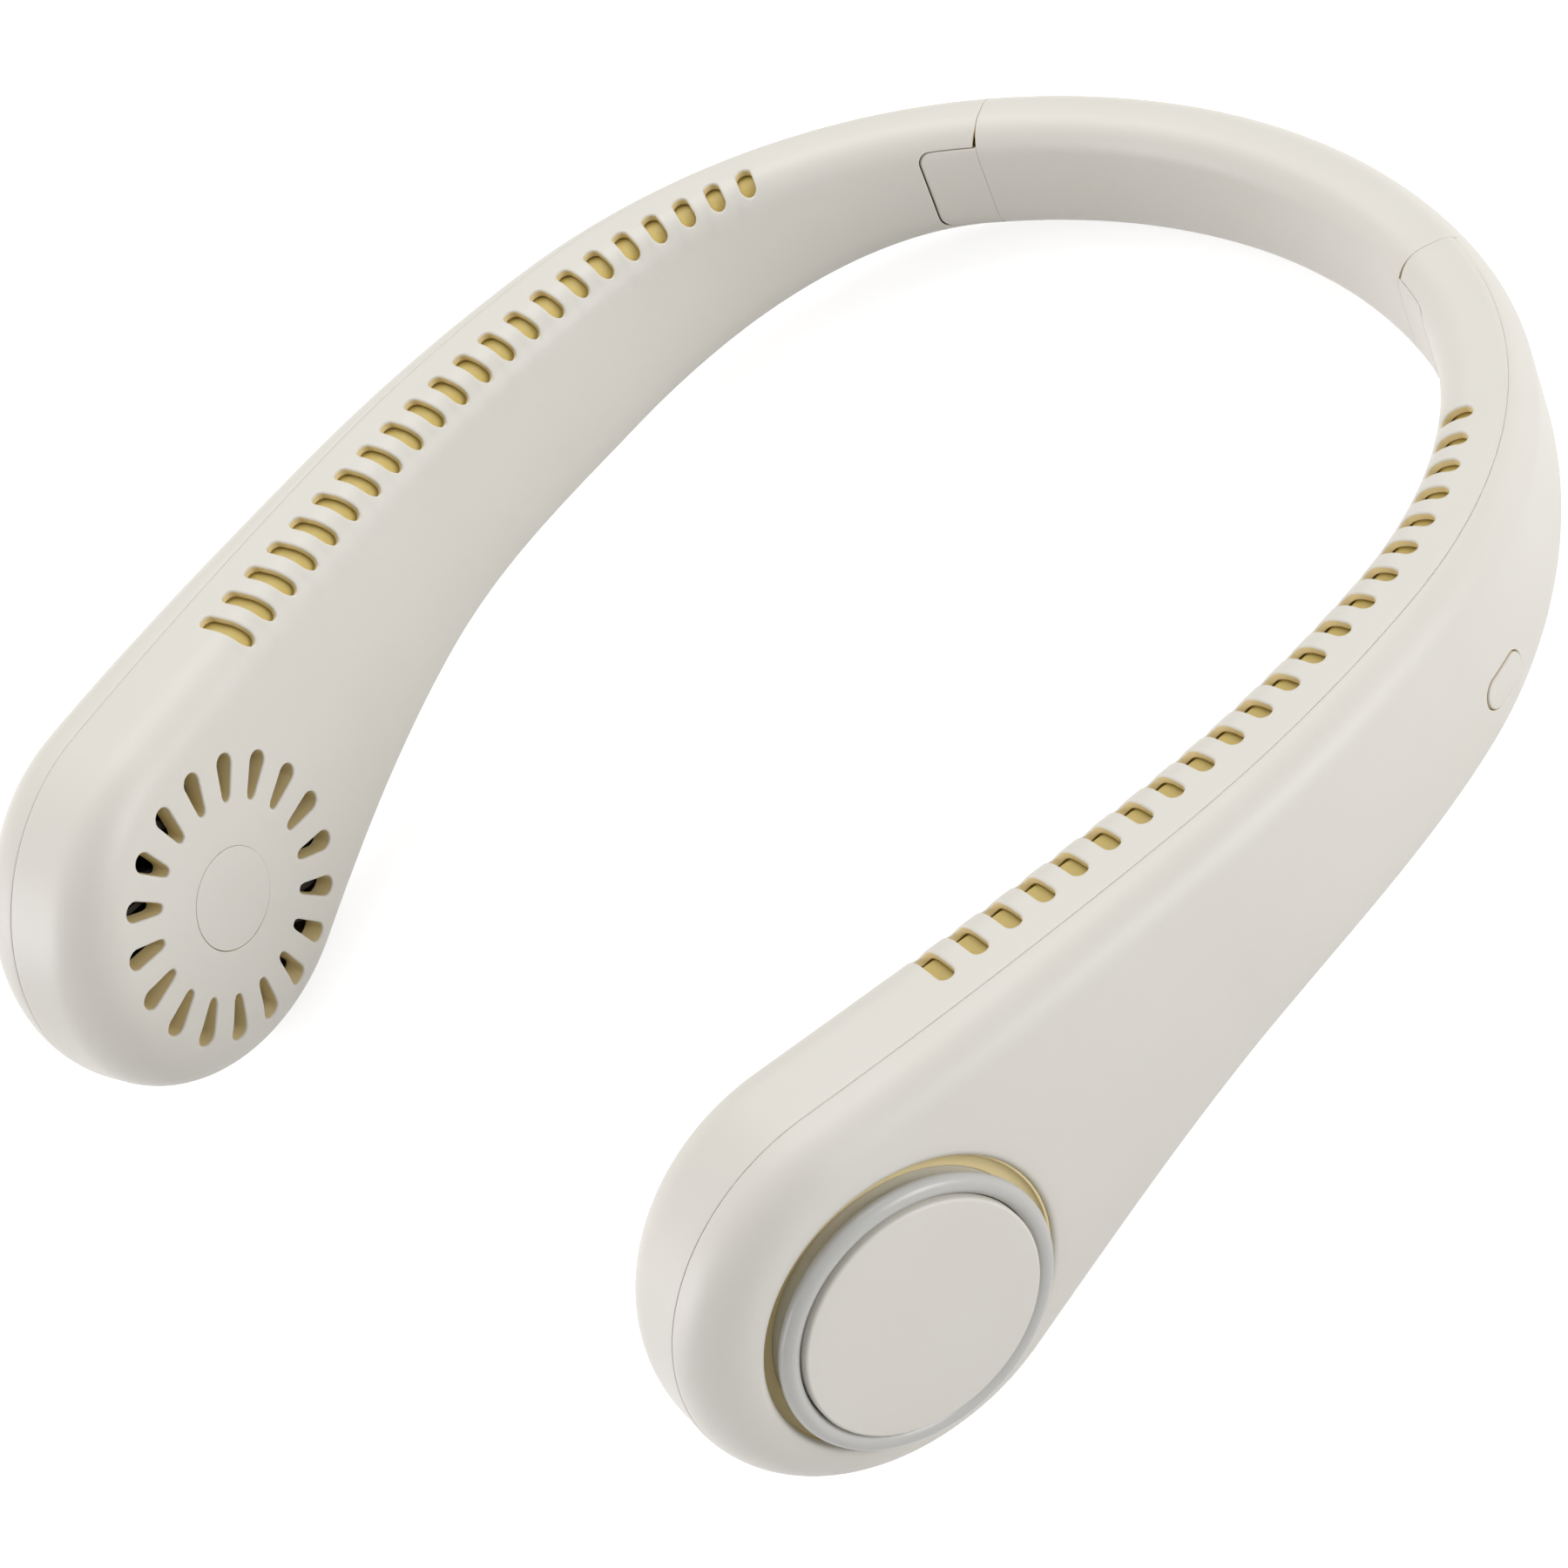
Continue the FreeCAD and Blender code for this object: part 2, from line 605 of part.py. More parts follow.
def rounded_bar(start, end, start_radius, end_radius, height):
    """Upright bar with round ends of two radii, between two points of the local x axis."""
    reach = end - start
    lean = math.asin((start_radius - end_radius) / reach)
    rise, run = math.cos(lean), math.sin(lean)
    a = Vector(start + start_radius * run, start_radius * rise, 0)
    b = Vector(end + end_radius * run, end_radius * rise, 0)
    c = Vector(end + end_radius, 0, 0)
    d = Vector(b.x, -b.y, 0)
    e = Vector(a.x, -a.y, 0)
    f = Vector(start - start_radius, 0, 0)
    ends = [Part.Arc(b, c, d).toShape(), Part.Arc(e, f, a).toShape()]
    edges = [Part.makeLine(a, b), ends[0], Part.makeLine(d, e), ends[1]]
    return Part.Face(Part.Wire(edges)).extrude(Vector(0, 0, height))


def air_slots():
    """Upright cutters for the row of air slots, each across the arm."""
    cutters = []
    radius = size("slot_width") / 2
    for k in range(count("slot_count")):
        place = SEAM + size("slot_first") + k * size("slot_pitch")
        origin, _, outward = spine(place)
        near = size("slot_start") + radius
        far = arm_width(place) / 2 - size("slot_inset") - radius
        bar = rounded_bar(near, far, radius, radius, size("floor_depth"))
        bar.Placement = frame_at(origin - UP * (size("floor_depth") - size("wall")), -outward, UP)
        cutters.append(bar)
    return cutters


def grille_slots():
    """Cutters for the radial slots of the inner grille, wider outwards."""
    wide = size("grille_wide") / 2
    narrow = size("grille_narrow") / 2
    depth = size("end_width") / 2
    bar = rounded_bar(size("grille_inner") + narrow, size("grille_outer") - wide, narrow, wide, depth)
    bar.translate(Vector(0, 0, size("wall") + size("boss_height") - depth))
    cutters = []
    for k in range(count("grille_count")):
        copy = bar.copy()
        copy.rotate(Vector(0, 0, 0), Vector(0, 0, 1), 360.0 * (k + 0.5) / count("grille_count"))
        copy.Placement = AXIS.multiply(copy.Placement)
        cutters.append(copy)
    return cutters


PIN_OFFSET = size("knuckle_radius") - size("band_width") / 2
TONGUE_TOP = -size("ear_thick")
TONGUE_BOTTOM = size("ear_thick") - size("band_height")
SEAM_AT = seam_frame()


def seam_solid(corners, low, high):
    """Upright solid over a polygon given in (forward, outward) from the hinge seam."""
    points = [SEAM_AT.multVec(Vector(x, 0, z)) for x, z in corners]
    face = Part.Face(Part.makePolygon(points + points[:1]))
    face.translate(UP * low)
    return face.extrude(UP * (high - low))


def pin_cylinder(radius, low, high):
    """Upright cylinder about the left hinge pin."""
    base = SEAM_AT.multVec(Vector(size("pin_reach"), 0, PIN_OFFSET)) + UP * low
    return Part.makeCylinder(radius, high - low, base)


def hinge_cutters():
    """Room in the arm for the hinge tongue, the pin and the inward fold."""
    gap = size("knuckle_gap")
    low = TONGUE_BOTTOM - gap
    high = TONGUE_TOP + gap
    reach = size("pin_reach")
    outer = PIN_OFFSET + size("knuckle_radius") + gap
    inner = -size("band_width")
    room = seam_solid([(-gap, inner), (reach, inner), (reach, outer), (-gap, outer)], low, high)
    barrel = pin_cylinder(size("knuckle_radius") + gap, low, high)
    bore = pin_cylinder(size("pin_radius"), size("pin_cover") - size("band_height"), -size("pin_cover"))
    slope = math.tan(math.radians(size("fold_angle") + size("fold_spare")))
    notch = (PIN_OFFSET - inner) * slope + size("seam_gap")
    relief = seam_solid([(-gap, PIN_OFFSET), (size("seam_gap"), PIN_OFFSET), (notch, inner), (-gap, inner)],
                        -2 * size("band_height"), size("band_height"))
    return [room, barrel, bore, relief]


def socket_box(grow, low, high):
    """Box round the charging socket, between two depths, behind the control board."""
    origin, forward, outward = spine(SEAM + size("button_place"))
    face = board_face() - size("board_thick")
    corner = origin - forward * (size("socket_length") / 2 + grow)
    corner = corner + outward * (face - size("socket_thick") - grow)
    box = Part.makeBox(size("socket_length") + 2 * grow, size("socket_thick") + 2 * grow, high - low)
    box.Placement = frame_at(corner + UP * low, forward, UP)
    return box


FACE_OFFSET = arm_width(SEAM + size("button_place")) / 2


def plunger_top():
    """Offset of the switch plunger's tip from the middle line."""
    rim = FACE_OFFSET - size("wall") - size("flange_drop") - size("flange_thick")
    return rim - size("button_travel") - size("plunger_gap")


def board_face():
    """Offset of the control board's outer face from the middle line."""
    return plunger_top() - size("plunger_height") - size("switch_height")


BUTTON_AT = face_frame(SEAM + size("button_place"), size("button_depth"))
ARM_START = SEAM + size("seam_gap")
FAR = 2 * size("end_width")
SKIN = arm_solid(ARM_START, 0).cut(arm_solid(SEAM + size("hinge_block"), size("wall")))
BELOW = -3 * size("end_radius")
ABOVE = size("end_radius")


def inner_shell(side):
    """Neck side and top of an arm, with the air slots, the grille, the motor boss and the hinge room."""
    beyond = plan_strip(size("parting_offset"), FAR, ARM_START, BELOW, ABOVE)
    shell = SKIN.cut(beyond)
    shell = shell.fuse(axis_cylinder(size("boss_radius"), size("wall") / 2, size("boss_top")))
    recess = axis_cylinder(size("badge_radius") + size("badge_gap"), -size("wall"), size("badge_thick"))
    holes = around_axis(size("screw_radius"), count("base_screw_count"),
                        size("boss_top") - size("screw_grip"), size("base_top"), size("base_screw_radius"))
    tools = air_slots() + grille_slots() + hinge_cutters() + [recess] + holes
    if side > 0:
        bottom = -arm_height(SEAM + size("button_place"))
        tools.append(socket_box(size("socket_gap"), bottom - size("wall"), bottom + 2 * size("wall")))
    return solid_of(shell.cut(tools))


def stadium(length, width, low, high):
    """Bar with equal round ends in the power button's frame, long side forward."""
    radius = width / 2
    reach = length / 2 - radius
    bar = rounded_bar(-reach, reach, radius, radius, high - low)
    bar.translate(Vector(0, 0, low))
    bar.Placement = BUTTON_AT.multiply(bar.Placement)
    return bar


def board_posts():
    """Posts on the cover that carry the control board."""
    reach = size("board_length") / 2 - size("post_inset")
    low = board_face() - FACE_OFFSET
    posts = []
    for x in (-reach, reach):
        post = Part.makeCylinder(size("post_radius"), -size("wall") / 2 - low, Vector(x, 0, low))
        post.Placement = BUTTON_AT.multiply(post.Placement)
        posts.append(post)
    return posts


def outer_cover(side):
    """Outer side of an arm, with the intake hole and, on the left, the button hole."""
    beyond = plan_strip(size("parting_offset") + size("parting_gap"), FAR, ARM_START, BELOW, ABOVE)
    cover = SKIN.common(beyond)
    tools = [axis_cylinder(size("hole_radius"), size("end_width") / 2, 2 * size("end_width"))]
    tools += around_axis(size("screw_radius"), count("foot_count"), size("cover_level") - size("foot_thick"),
                         size("cover_level") + size("screw_grip"), size("foot_screw_radius"),
                         size("foot_turn"))
    if side > 0:
        cover = cover.fuse(board_posts())
        gap = size("button_gap")
        tools.append(stadium(size("button_length") + 2 * gap, size("button_width") + 2 * gap,
                             -2 * size("wall"), size("wall")))
    cover = solid_of(cover.cut(tools))
    rim = []
    for edge in cover.Edges:
        if isinstance(edge.Curve, Part.Circle) and abs(edge.Curve.Radius - size("hole_radius")) < 1e-4:
            level = AXIS.inverse().multVec(edge.CenterOfMass).z
            if abs(level - size("end_width")) < 1e-3:
                rim.append(edge)
    return cover.makeFillet(size("hole_edge"), rim)


for name, side in SIDES:
    shape_piece(name + "_inner_shell", shape_on_side(side, inner_shell(side)))
    shape_piece(name + "_outer_cover", shape_on_side(side, outer_cover(side)))


# Neckband, hinge tongues and lead
def band_face(inset):
    """Rounded section of the neckband at its rear, drawn in by an inset."""
    half = size("band_width") / 2 - inset
    edge = size("band_edge") - inset
    outline = rounded_outline(-half, half, inset - size("band_height"), -inset, edge, edge)
    return Part.Face(Part.Wire(drawn(outline, Vector(0, size("band_radius"), 0), Vector(0, 1, 0))))


def swept_round(face, start, end):
    """Section at the rear swept round the neckband between two angles, forward on the left."""
    turned_face = face.copy()
    turned_face.rotate(Vector(0, 0, 0), UP, -start)
    return turned_face.revolve(Vector(0, 0, 0), UP, start - end)


def outboard_of(offset):
    """Half plane of the rear section beyond an offset."""
    low = Vector(0, size("band_radius") + offset, -2 * size("band_height"))
    return Part.makePlane(4 * size("band_height"), size("band_width"), low, Vector(-1, 0, 0), Vector(0, 0, 1))


def neckband_shells():
    """Channel on the neck side and the strip that closes it outside."""
    wall = band_face(0).cut(band_face(size("wall")))
    angle = size("band_half_angle")
    channel = wall.cut(outboard_of(size("band_parting"))).Faces[0]
    strip = wall.common(outboard_of(size("band_parting") + size("parting_gap"))).Faces[0]
    shape_piece("neckband_inner_shell", solid_of(swept_round(channel, -angle, angle)))
    shape_piece("neckband_outer_shell", solid_of(swept_round(strip, -angle, angle)))


PLUG_ANGLE = math.degrees(size("plug_length") / size("band_radius"))


def hinge_tongue():
    """Plug in the neckband's end with the tongue that turns about the hinge pin."""
    angle = size("band_half_angle")
    plug = swept_round(band_face(size("wall") + size("plug_gap")), angle - PLUG_ANGLE, angle)
    inner = -size("band_width") / 2
    outer = PIN_OFFSET + size("knuckle_radius")
    reach = size("pin_reach")
    plate = seam_solid([(0, inner), (reach, inner), (reach, outer), (0, outer)], TONGUE_BOTTOM, TONGUE_TOP)
    tongue = plate.fuse(pin_cylinder(size("knuckle_radius"), TONGUE_BOTTOM, TONGUE_TOP)).removeSplitter()
    rim = []
    for edge in tongue.Edges:
        level = edge.BoundBox
        flat = level.ZMax - level.ZMin < 1e-6
        if flat and SEAM_AT.inverse().multVec(edge.CenterOfMass).x > 1e-3:
            rim.append(edge)
    tongue = tongue.makeFillet(size("tongue_edge"), rim)
    bore = pin_cylinder(size("pin_radius") + size("pin_clearance"), TONGUE_BOTTOM, TONGUE_TOP)
    return solid_of(tongue.fuse(plug).cut(bore))


def neckband_lead():
    """Lead between the two plugs, along the middle of the neckband."""
    reach = size("band_half_angle") - PLUG_ANGLE - math.degrees(size("fit_gap") / size("band_radius"))
    centre = Vector(0, size("band_radius"), -size("band_height") / 2)
    section = Part.Face(Part.Wire(Part.makeCircle(size("lead_radius"), centre, Vector(1, 0, 0))))
    return solid_of(swept_round(section, -reach, reach))


neckband_shells()
shape_piece("neckband_lead", neckband_lead())
for name, side in SIDES:
    shape_piece(name + "_hinge_tongue", shape_on_side(side, hinge_tongue()))
    pin = bound("Part::Cylinder", name + "_hinge_pin", Radius="Sizes.pin_radius",
                Height="Sizes.band_height - 2 * Sizes.pin_cover")
    foot = SEAM_AT.multVec(Vector(size("pin_reach"), 0, PIN_OFFSET))
    foot = foot + UP * (size("pin_cover") - size("band_height"))
    keep(pin, name + "_hinge_pin", Placement(Vector(side * foot.x, foot.y, foot.z), Rotation()))


# Turned and patterned pieces of the turbine housings
def bar_outline(sketch, near, far, width):
    """Rectangle along the sketch's x axis, even about it, between two named distances."""
    half = size(width) / 2
    left = size(near) if near else 0
    right = size(far)
    corners = [Vector(left, -half, 0), Vector(right, -half, 0), Vector(right, half, 0), Vector(left, half, 0)]
    for k in range(4):
        sketch.addGeometry(Part.LineSegment(corners[k], corners[(k + 1) % 4]), False)
    for k in range(4):
        sketch.addConstraint(Sketcher.Constraint("Coincident", k, 2, (k + 1) % 4, 1))
    for kind, line in (("Horizontal", 0), ("Horizontal", 2), ("Vertical", 3)):
        sketch.addConstraint(Sketcher.Constraint(kind, line))
    sketch.addConstraint(Sketcher.Constraint("Symmetric", 1, 1, 1, 2, -1))
    pin_to(sketch, "DistanceX", 0, 1, near)
    pin_to(sketch, "DistanceX", 1, 1, far)
    index = sketch.addConstraint(Sketcher.Constraint("DistanceY", 1, 1, 1, 2, size(width)))
    sketch.setExpression("Constraints[%d]" % index, "Sizes." + width)


def named_circle(sketch, distance, radius):
    """Circle on the sketch's x axis at a named distance, or at its origin."""
    centre = Vector(size(distance) if distance else 0, 0, 0)
    circle = sketch.addGeometry(Part.Circle(centre, Vector(0, 0, 1), size(radius)), False)
    sketch.addConstraint(Sketcher.Constraint("PointOnObject", circle, 3, -1))
    pin_to(sketch, "DistanceX", circle, 3, distance)
    index = sketch.addConstraint(Sketcher.Constraint("Radius", circle, size(radius)))
    sketch.setExpression("Constraints[%d]" % index, "Sizes." + radius)


def raised_sketch(body, name, level):
    """Sketch square to the body's z axis at a named level."""
    sketch = new_sketch(body, name, "XY_Plane")
    sketch.AttachmentOffset = Placement(Vector(0, 0, size(level)), Rotation())
    sketch.setExpression("AttachmentOffset.Base.z", "Sizes." + level)
    return sketch


def padded(body, name, sketch, length):
    """Pad of a sketch with an expression for its length."""
    pad = body.newObject("PartDesign::Pad", name)
    pad.Profile = sketch
    pad.setExpression("Length", length)
    sketch.Visibility = False
    return pad


def repeated(body, name, feature, outline, number):
    """Even copies of a feature round the body's z axis, which is the outline sketch's upright axis."""
    pattern = body.newObject("PartDesign::PolarPattern", name)
    pattern.Originals = [feature]
    pattern.Axis = (outline, ["V_Axis"])
    pattern.Angle = 360
    pattern.Occurrences = number
    body.Tip = pattern
    return pattern


def intake_ring(label):
    """Ring round the cap, on feet that reach under the cover."""
    body = doc.addObject("PartDesign::Body", label)
    band = turned(body, label + "_band", [
        ("shelf_bore", "ring_foot"), ("ring_radius", "ring_foot"), ("ring_radius", "ring_top"),
        ("ring_bore", "ring_top"), ("ring_bore", "cap_seat"), ("shelf_bore", "cap_seat")])
    top = size("ring_top")
    crown = (size("ring_radius"), size("ring_bore"))
    round_edges(body, label + "_crown", band, "ring_round",
                lambda edge: any(circle_at(edge, radius, top) for radius in crown))
    sketch = raised_sketch(body, label + "_foot_outline", "ring_foot")
    bar_outline(sketch, "ring_bore", "foot_reach", "foot_width")
    named_circle(sketch, "foot_screw_radius", "screw_bore")
    foot = padded(body, label + "_foot", sketch, "Sizes.foot_thick")
    repeated(body, label + "_feet", foot, band.Profile[0], count("foot_count"))
    return body


def intake_cap(label):
    """Plain cap in the ring."""
    body = doc.addObject("PartDesign::Body", label)
    disc = turned(body, label + "_disc", [
        (None, "cap_seat"), ("cap_radius", "cap_seat"), ("cap_radius", "cap_top"), (None, "cap_top")])
    round_edges(body, label + "_edge", disc, "cap_round",
                lambda edge: circle_at(edge, size("cap_radius"), size("cap_top")))
    return body


def motor_base(label):
    """Plate under the motor, screwed to the shell's boss."""
    body = doc.addObject("PartDesign::Body", label)
    plate = turned(body, label + "_plate", [
        ("bush_radius", "boss_top"), ("boss_radius", "boss_top"),
        ("boss_radius", "base_top"), ("bush_radius", "base_top")])
    sketch = raised_sketch(body, label + "_hole_outline", "boss_top")
    named_circle(sketch, "base_screw_radius", "screw_bore")
    doc.recompute()
    hole = body.newObject("PartDesign::Pocket", label + "_hole")
    hole.Profile = sketch
    hole.Reversed = True
    hole.setExpression("Length", "Sizes.base_thick")
    sketch.Visibility = False
    repeated(body, label + "_holes", hole, plate.Profile[0], count("base_screw_count"))
    return body


def rotor_can(label):
    """Steel can that turns about the stator."""
    body = doc.addObject("PartDesign::Body", label)
    turned(body, label + "_can", [
        ("magnet_radius", "rotor_rim"), ("rotor_radius", "rotor_rim"), ("rotor_radius", "rotor_top"),
        ("shaft_radius", "rotor_top"), ("shaft_radius", "rotor_inside"), ("magnet_radius", "rotor_inside")])
    return body


def impeller(label, side):
    """Turbine with a hub over the rotor can, a middle plate and leaned blades on both of its faces."""
    body = doc.addObject("PartDesign::Body", label)
    hub = turned(body, label + "_hub", [
        ("rotor_radius", "hub_rim"), ("hub_radius", "hub_rim"), ("hub_radius", "rotor_top"),
        ("impeller_radius", "rotor_top"), ("impeller_radius", "plate_top"), ("shaft_radius", "plate_top"),
        ("shaft_radius", "rotor_top"), ("rotor_radius", "rotor_top")])
    sketch = raised_sketch(body, label + "_blade_outline", "blade_bottom")
    lean = Rotation(Vector(0, 0, 1), side * size("blade_lean"))
    sketch.AttachmentOffset = Placement(Vector(size("blade_inner"), 0, size("blade_bottom")), lean)
    sketch.setExpression("AttachmentOffset.Base.x", "Sizes.blade_inner")
    bar_outline(sketch, None, "blade_length", "blade_thick")
    blade = padded(body, label + "_blade", sketch, "Sizes.blade_top - Sizes.blade_bottom")
    repeated(body, label + "_blades", blade, hub.Profile[0], count("blade_count"))
    return body


def tube(label, outer, inner, height):
    """Tube along z with its sizes from cells."""
    shell = bound("Part::Cylinder", label + "_outside", Radius=outer, Height=height)
    bore = bound("Part::Cylinder", label + "_bore", Radius=inner, Height=height)
    return cut(label, shell, bore)


def lifted(level):
    """Left turbine frame raised to a named level."""
    return AXIS.multiply(Placement(Vector(0, 0, size(level)), Rotation()))


def stator():
    """Stator with winding slots and a bore for the bushes."""
    low = size("base_top")
    high = low + size("stator_height")
    core = axis_cylinder(size("stator_radius"), low, high).cut(axis_cylinder(size("bush_radius"), low, high))
    slots = around_axis(size("stator_slot"), count("stator_teeth"), low, high, size("stator_radius"))
    return solid_of(core.cut(slots))


def shaft_bushes():
    """Bush at each end of the stator's bore."""
    bore = size("shaft_radius") + size("shaft_clearance")
    rings = []
    for low in (size("base_top"), size("base_top") + size("stator_height") - size("bush_height")):
        high = low + size("bush_height")
        rings.append(axis_cylinder(size("bush_radius"), low, high).cut(axis_cylinder(bore, low, high)))
    return Part.makeCompound([ring.Solids[0] for ring in rings])


def screws(total, turn, first_turn, head_low, head_high, shank_low, shank_high):
    """Screws round the turbine axis."""
    heads = around_axis(size("screw_head_radius"), total, head_low, head_high, turn, first_turn)
    shanks = around_axis(size("screw_radius"), total, shank_low, shank_high, turn, first_turn)
    return Part.makeCompound([solid_of(head.fuse(shank)) for head, shank in zip(heads, shanks)])


def scroll_wall():
    """Wall round the turbine, open towards the arm's air channel."""
    inner = size("impeller_radius") + size("scroll_gap")
    outer = inner + size("scroll_wall")
    edge = size("end_inner_edge") - size("wall")
    over = outer - (size("end_radius") - size("end_inner_edge"))
    drop = edge - math.sqrt(edge ** 2 - over ** 2)
    low = size("wall") + drop + size("fit_gap")
    high = size("ring_foot") - size("screw_head_height") - size("fit_gap")
    angle = size("scroll_angle")
    wall = Part.makeCylinder(outer, high - low, Vector(0, 0, low), Vector(0, 0, 1), angle)
    wall = solid_of(wall.cut(Part.makeCylinder(inner, high - low, Vector(0, 0, low))))
    wall.rotate(Vector(0, 0, 0), Vector(0, 0, 1), 90 - angle / 2)
    wall.Placement = AXIS.multiply(wall.Placement)
    return wall


FLOOR_POINTS = 8


def channel_floor():
    """Floor of the air channel, close to both walls of the arm."""
    start = SEAM + size("floor_start")
    end = AXIS_PLACE - size("floor_tail")
    sides = ([], [])
    for k in range(FLOOR_POINTS):
        place = start + (end - start) * k / (FLOOR_POINTS - 1)
        origin, _, outward = spine(place)
        half = arm_width(place) / 2 - size("wall") - size("fit_gap")
        sides[0].append(origin - outward * half)
        sides[1].append(origin + outward * half)
    curves = []
    for points in sides:
        curve = Part.BSplineCurve()
        curve.interpolate(points)
        curves.append(curve.toShape())
    ends = [Part.makeLine(sides[0][k], sides[1][k]) for k in (0, -1)]
    face = Part.Face(Part.Wire([curves[0], ends[1], curves[1], ends[0]]))
    face.translate(-UP * (size("floor_depth") + size("floor_thick")))
    return face.extrude(UP * size("floor_thick"))


def battery_cell(label, side):
    """Cell under the channel floor."""
    cell = bound("Part::Box", label, Length="Sizes.cell_length", Width="Sizes.cell_thick",
                 Height="Sizes.cell_height")
    origin, forward, _ = spine(SEAM + size("cell_place"))
    top = size("floor_depth") + size("floor_thick") + size("fit_gap")
    middle = frame_at(origin - UP * (top + size("cell_height")), forward, UP)
    corner = Vector(-size("cell_length") / 2, -size("cell_thick") / 2, 0)
    keep(cell, label, on_side(side, middle).multiply(Placement(corner, Rotation())))


for name, side in SIDES:
    axis_here = on_side(side, AXIS)
    badge = bound("Part::Cylinder", name + "_grille_badge", Radius="Sizes.badge_radius",
                  Height="Sizes.badge_thick")
    keep(badge, name + "_grille_badge", axis_here)
    foot_turn = Placement(Vector(), Rotation(Vector(0, 0, 1), side * size("foot_turn")))
    keep(intake_ring(name + "_intake_ring"), name + "_intake_ring", axis_here.multiply(foot_turn))
    keep(intake_cap(name + "_intake_cap"), name + "_intake_cap", axis_here)
    keep(motor_base(name + "_motor_base"), name + "_motor_base", axis_here)
    keep(rotor_can(name + "_rotor_can"), name + "_rotor_can", axis_here)
    keep(impeller(name + "_impeller", side), name + "_impeller", axis_here)
    magnet = tube(name + "_magnet_ring", "Sizes.magnet_radius", "Sizes.magnet_radius - Sizes.magnet_thick",
                  "Sizes.rotor_inside - Sizes.rotor_rim")
    keep(magnet, name + "_magnet_ring", on_side(side, lifted("rotor_rim")))
    shaft = bound("Part::Cylinder", name + "_motor_shaft", Radius="Sizes.shaft_radius",
                  Height="Sizes.plate_top - Sizes.shaft_foot")
    keep(shaft, name + "_motor_shaft", on_side(side, lifted("shaft_foot")))
    shape_piece(name + "_motor_stator", shape_on_side(side, stator()))
    shape_piece(name + "_shaft_bushes", shape_on_side(side, shaft_bushes()))
    head = size("screw_head_height")
    motor_screws = screws(count("base_screw_count"), size("base_screw_radius"), 0, size("base_top"),
                          size("base_top") + head, size("boss_top") - size("screw_grip"), size("base_top"))
    shape_piece(name + "_motor_screws", shape_on_side(side, motor_screws))
    ring_screws = screws(count("foot_count"), size("foot_screw_radius"), size("foot_turn"),
                         size("ring_foot") - head, size("ring_foot"), size("ring_foot"),
                         size("cover_level") + size("screw_grip"))
    shape_piece(name + "_ring_screws", shape_on_side(side, ring_screws))
    shape_piece(name + "_scroll_wall", shape_on_side(side, scroll_wall()))
    shape_piece(name + "_channel_floor", shape_on_side(side, channel_floor()))
    battery_cell(name + "_battery_cell", side)


# Controls, in the left arm
def power_button():
    """Flush button with a rim that keeps it in the cover."""
    rim_top = -size("wall") - size("flange_drop")
    bar = stadium(size("button_length"), size("button_width"), rim_top, size("button_proud"))
    rim_length = size("button_length") + 2 * size("flange_rim")
    rim_width = size("button_width") + 2 * size("flange_rim")
    rim = stadium(rim_length, rim_width, rim_top - size("flange_thick"), rim_top)
    return solid_of(bar.fuse(rim))


def control_board():
    """Board on the cover's posts."""
    board = bound("Part::Box", "left_control_board", Length="Sizes.board_length", Width="Sizes.board_height",
                  Height="Sizes.board_thick")
    corner = Vector(-size("board_length") / 2, -size("board_height") / 2, board_face() - FACE_OFFSET)
    corner.z -= size("board_thick")
    keep(board, "left_control_board", BUTTON_AT.multiply(Placement(corner, Rotation())))


def power_switch():
    """Switch on the board, under the button."""
    body = bound("Part::Box", "left_power_switch_body", Length="Sizes.switch_side", Width="Sizes.switch_side",
                 Height="Sizes.switch_height")
    body.Placement.Base = Vector(-size("switch_side") / 2, -size("switch_side") / 2, 0)
    plunger = bound("Part::Cylinder", "left_power_switch_plunger", Radius="Sizes.plunger_radius",
                    Height="Sizes.switch_height + Sizes.plunger_height")
    switch = doc.addObject("Part::Fuse", "left_power_switch")
    switch.Base = body
    switch.Tool = plunger
    seat = Placement(Vector(0, 0, board_face() - FACE_OFFSET), Rotation())
    keep(switch, "left_power_switch", BUTTON_AT.multiply(seat))


def charging_socket():
    """Socket behind the board, with its mouth in the arm's lower face."""
    low = size("socket_sink") - arm_height(SEAM + size("button_place"))
    high = low + size("socket_depth")
    inside = socket_box(-size("socket_wall"), low, high - size("socket_wall"))
    sheet_box = socket_box(0, low, high).cut(inside)
    side_room = (size("socket_thick") - size("socket_tongue")) / 2
    tongue = socket_box(-side_room, low + side_room, high - size("socket_wall") / 2)
    return solid_of(sheet_box.fuse(tongue))


shape_piece("left_power_button", power_button())
control_board()
power_switch()
shape_piece("left_charging_socket", charging_socket())

# Check and write
doc.recompute()
for item in doc.Objects:
    if "Invalid" in item.State or "Error" in item.State:
        raise ValueError("%s failed: %s" % (item.Name, item.State))
for piece in pieces:
    if piece.Shape.isNull() or not piece.Shape.isValid() or not piece.Shape.Solids:
        raise ValueError("%s has no valid solid" % piece.Label)
os.makedirs("parts", exist_ok=True)
for piece in pieces:
    piece.Shape.exportStep("parts/%s.step" % piece.Label)


def shown(vector):
    """Vector in millimetres with four decimals."""
    return "%.4f %.4f %.4f" % (vector.x, vector.y, vector.z)


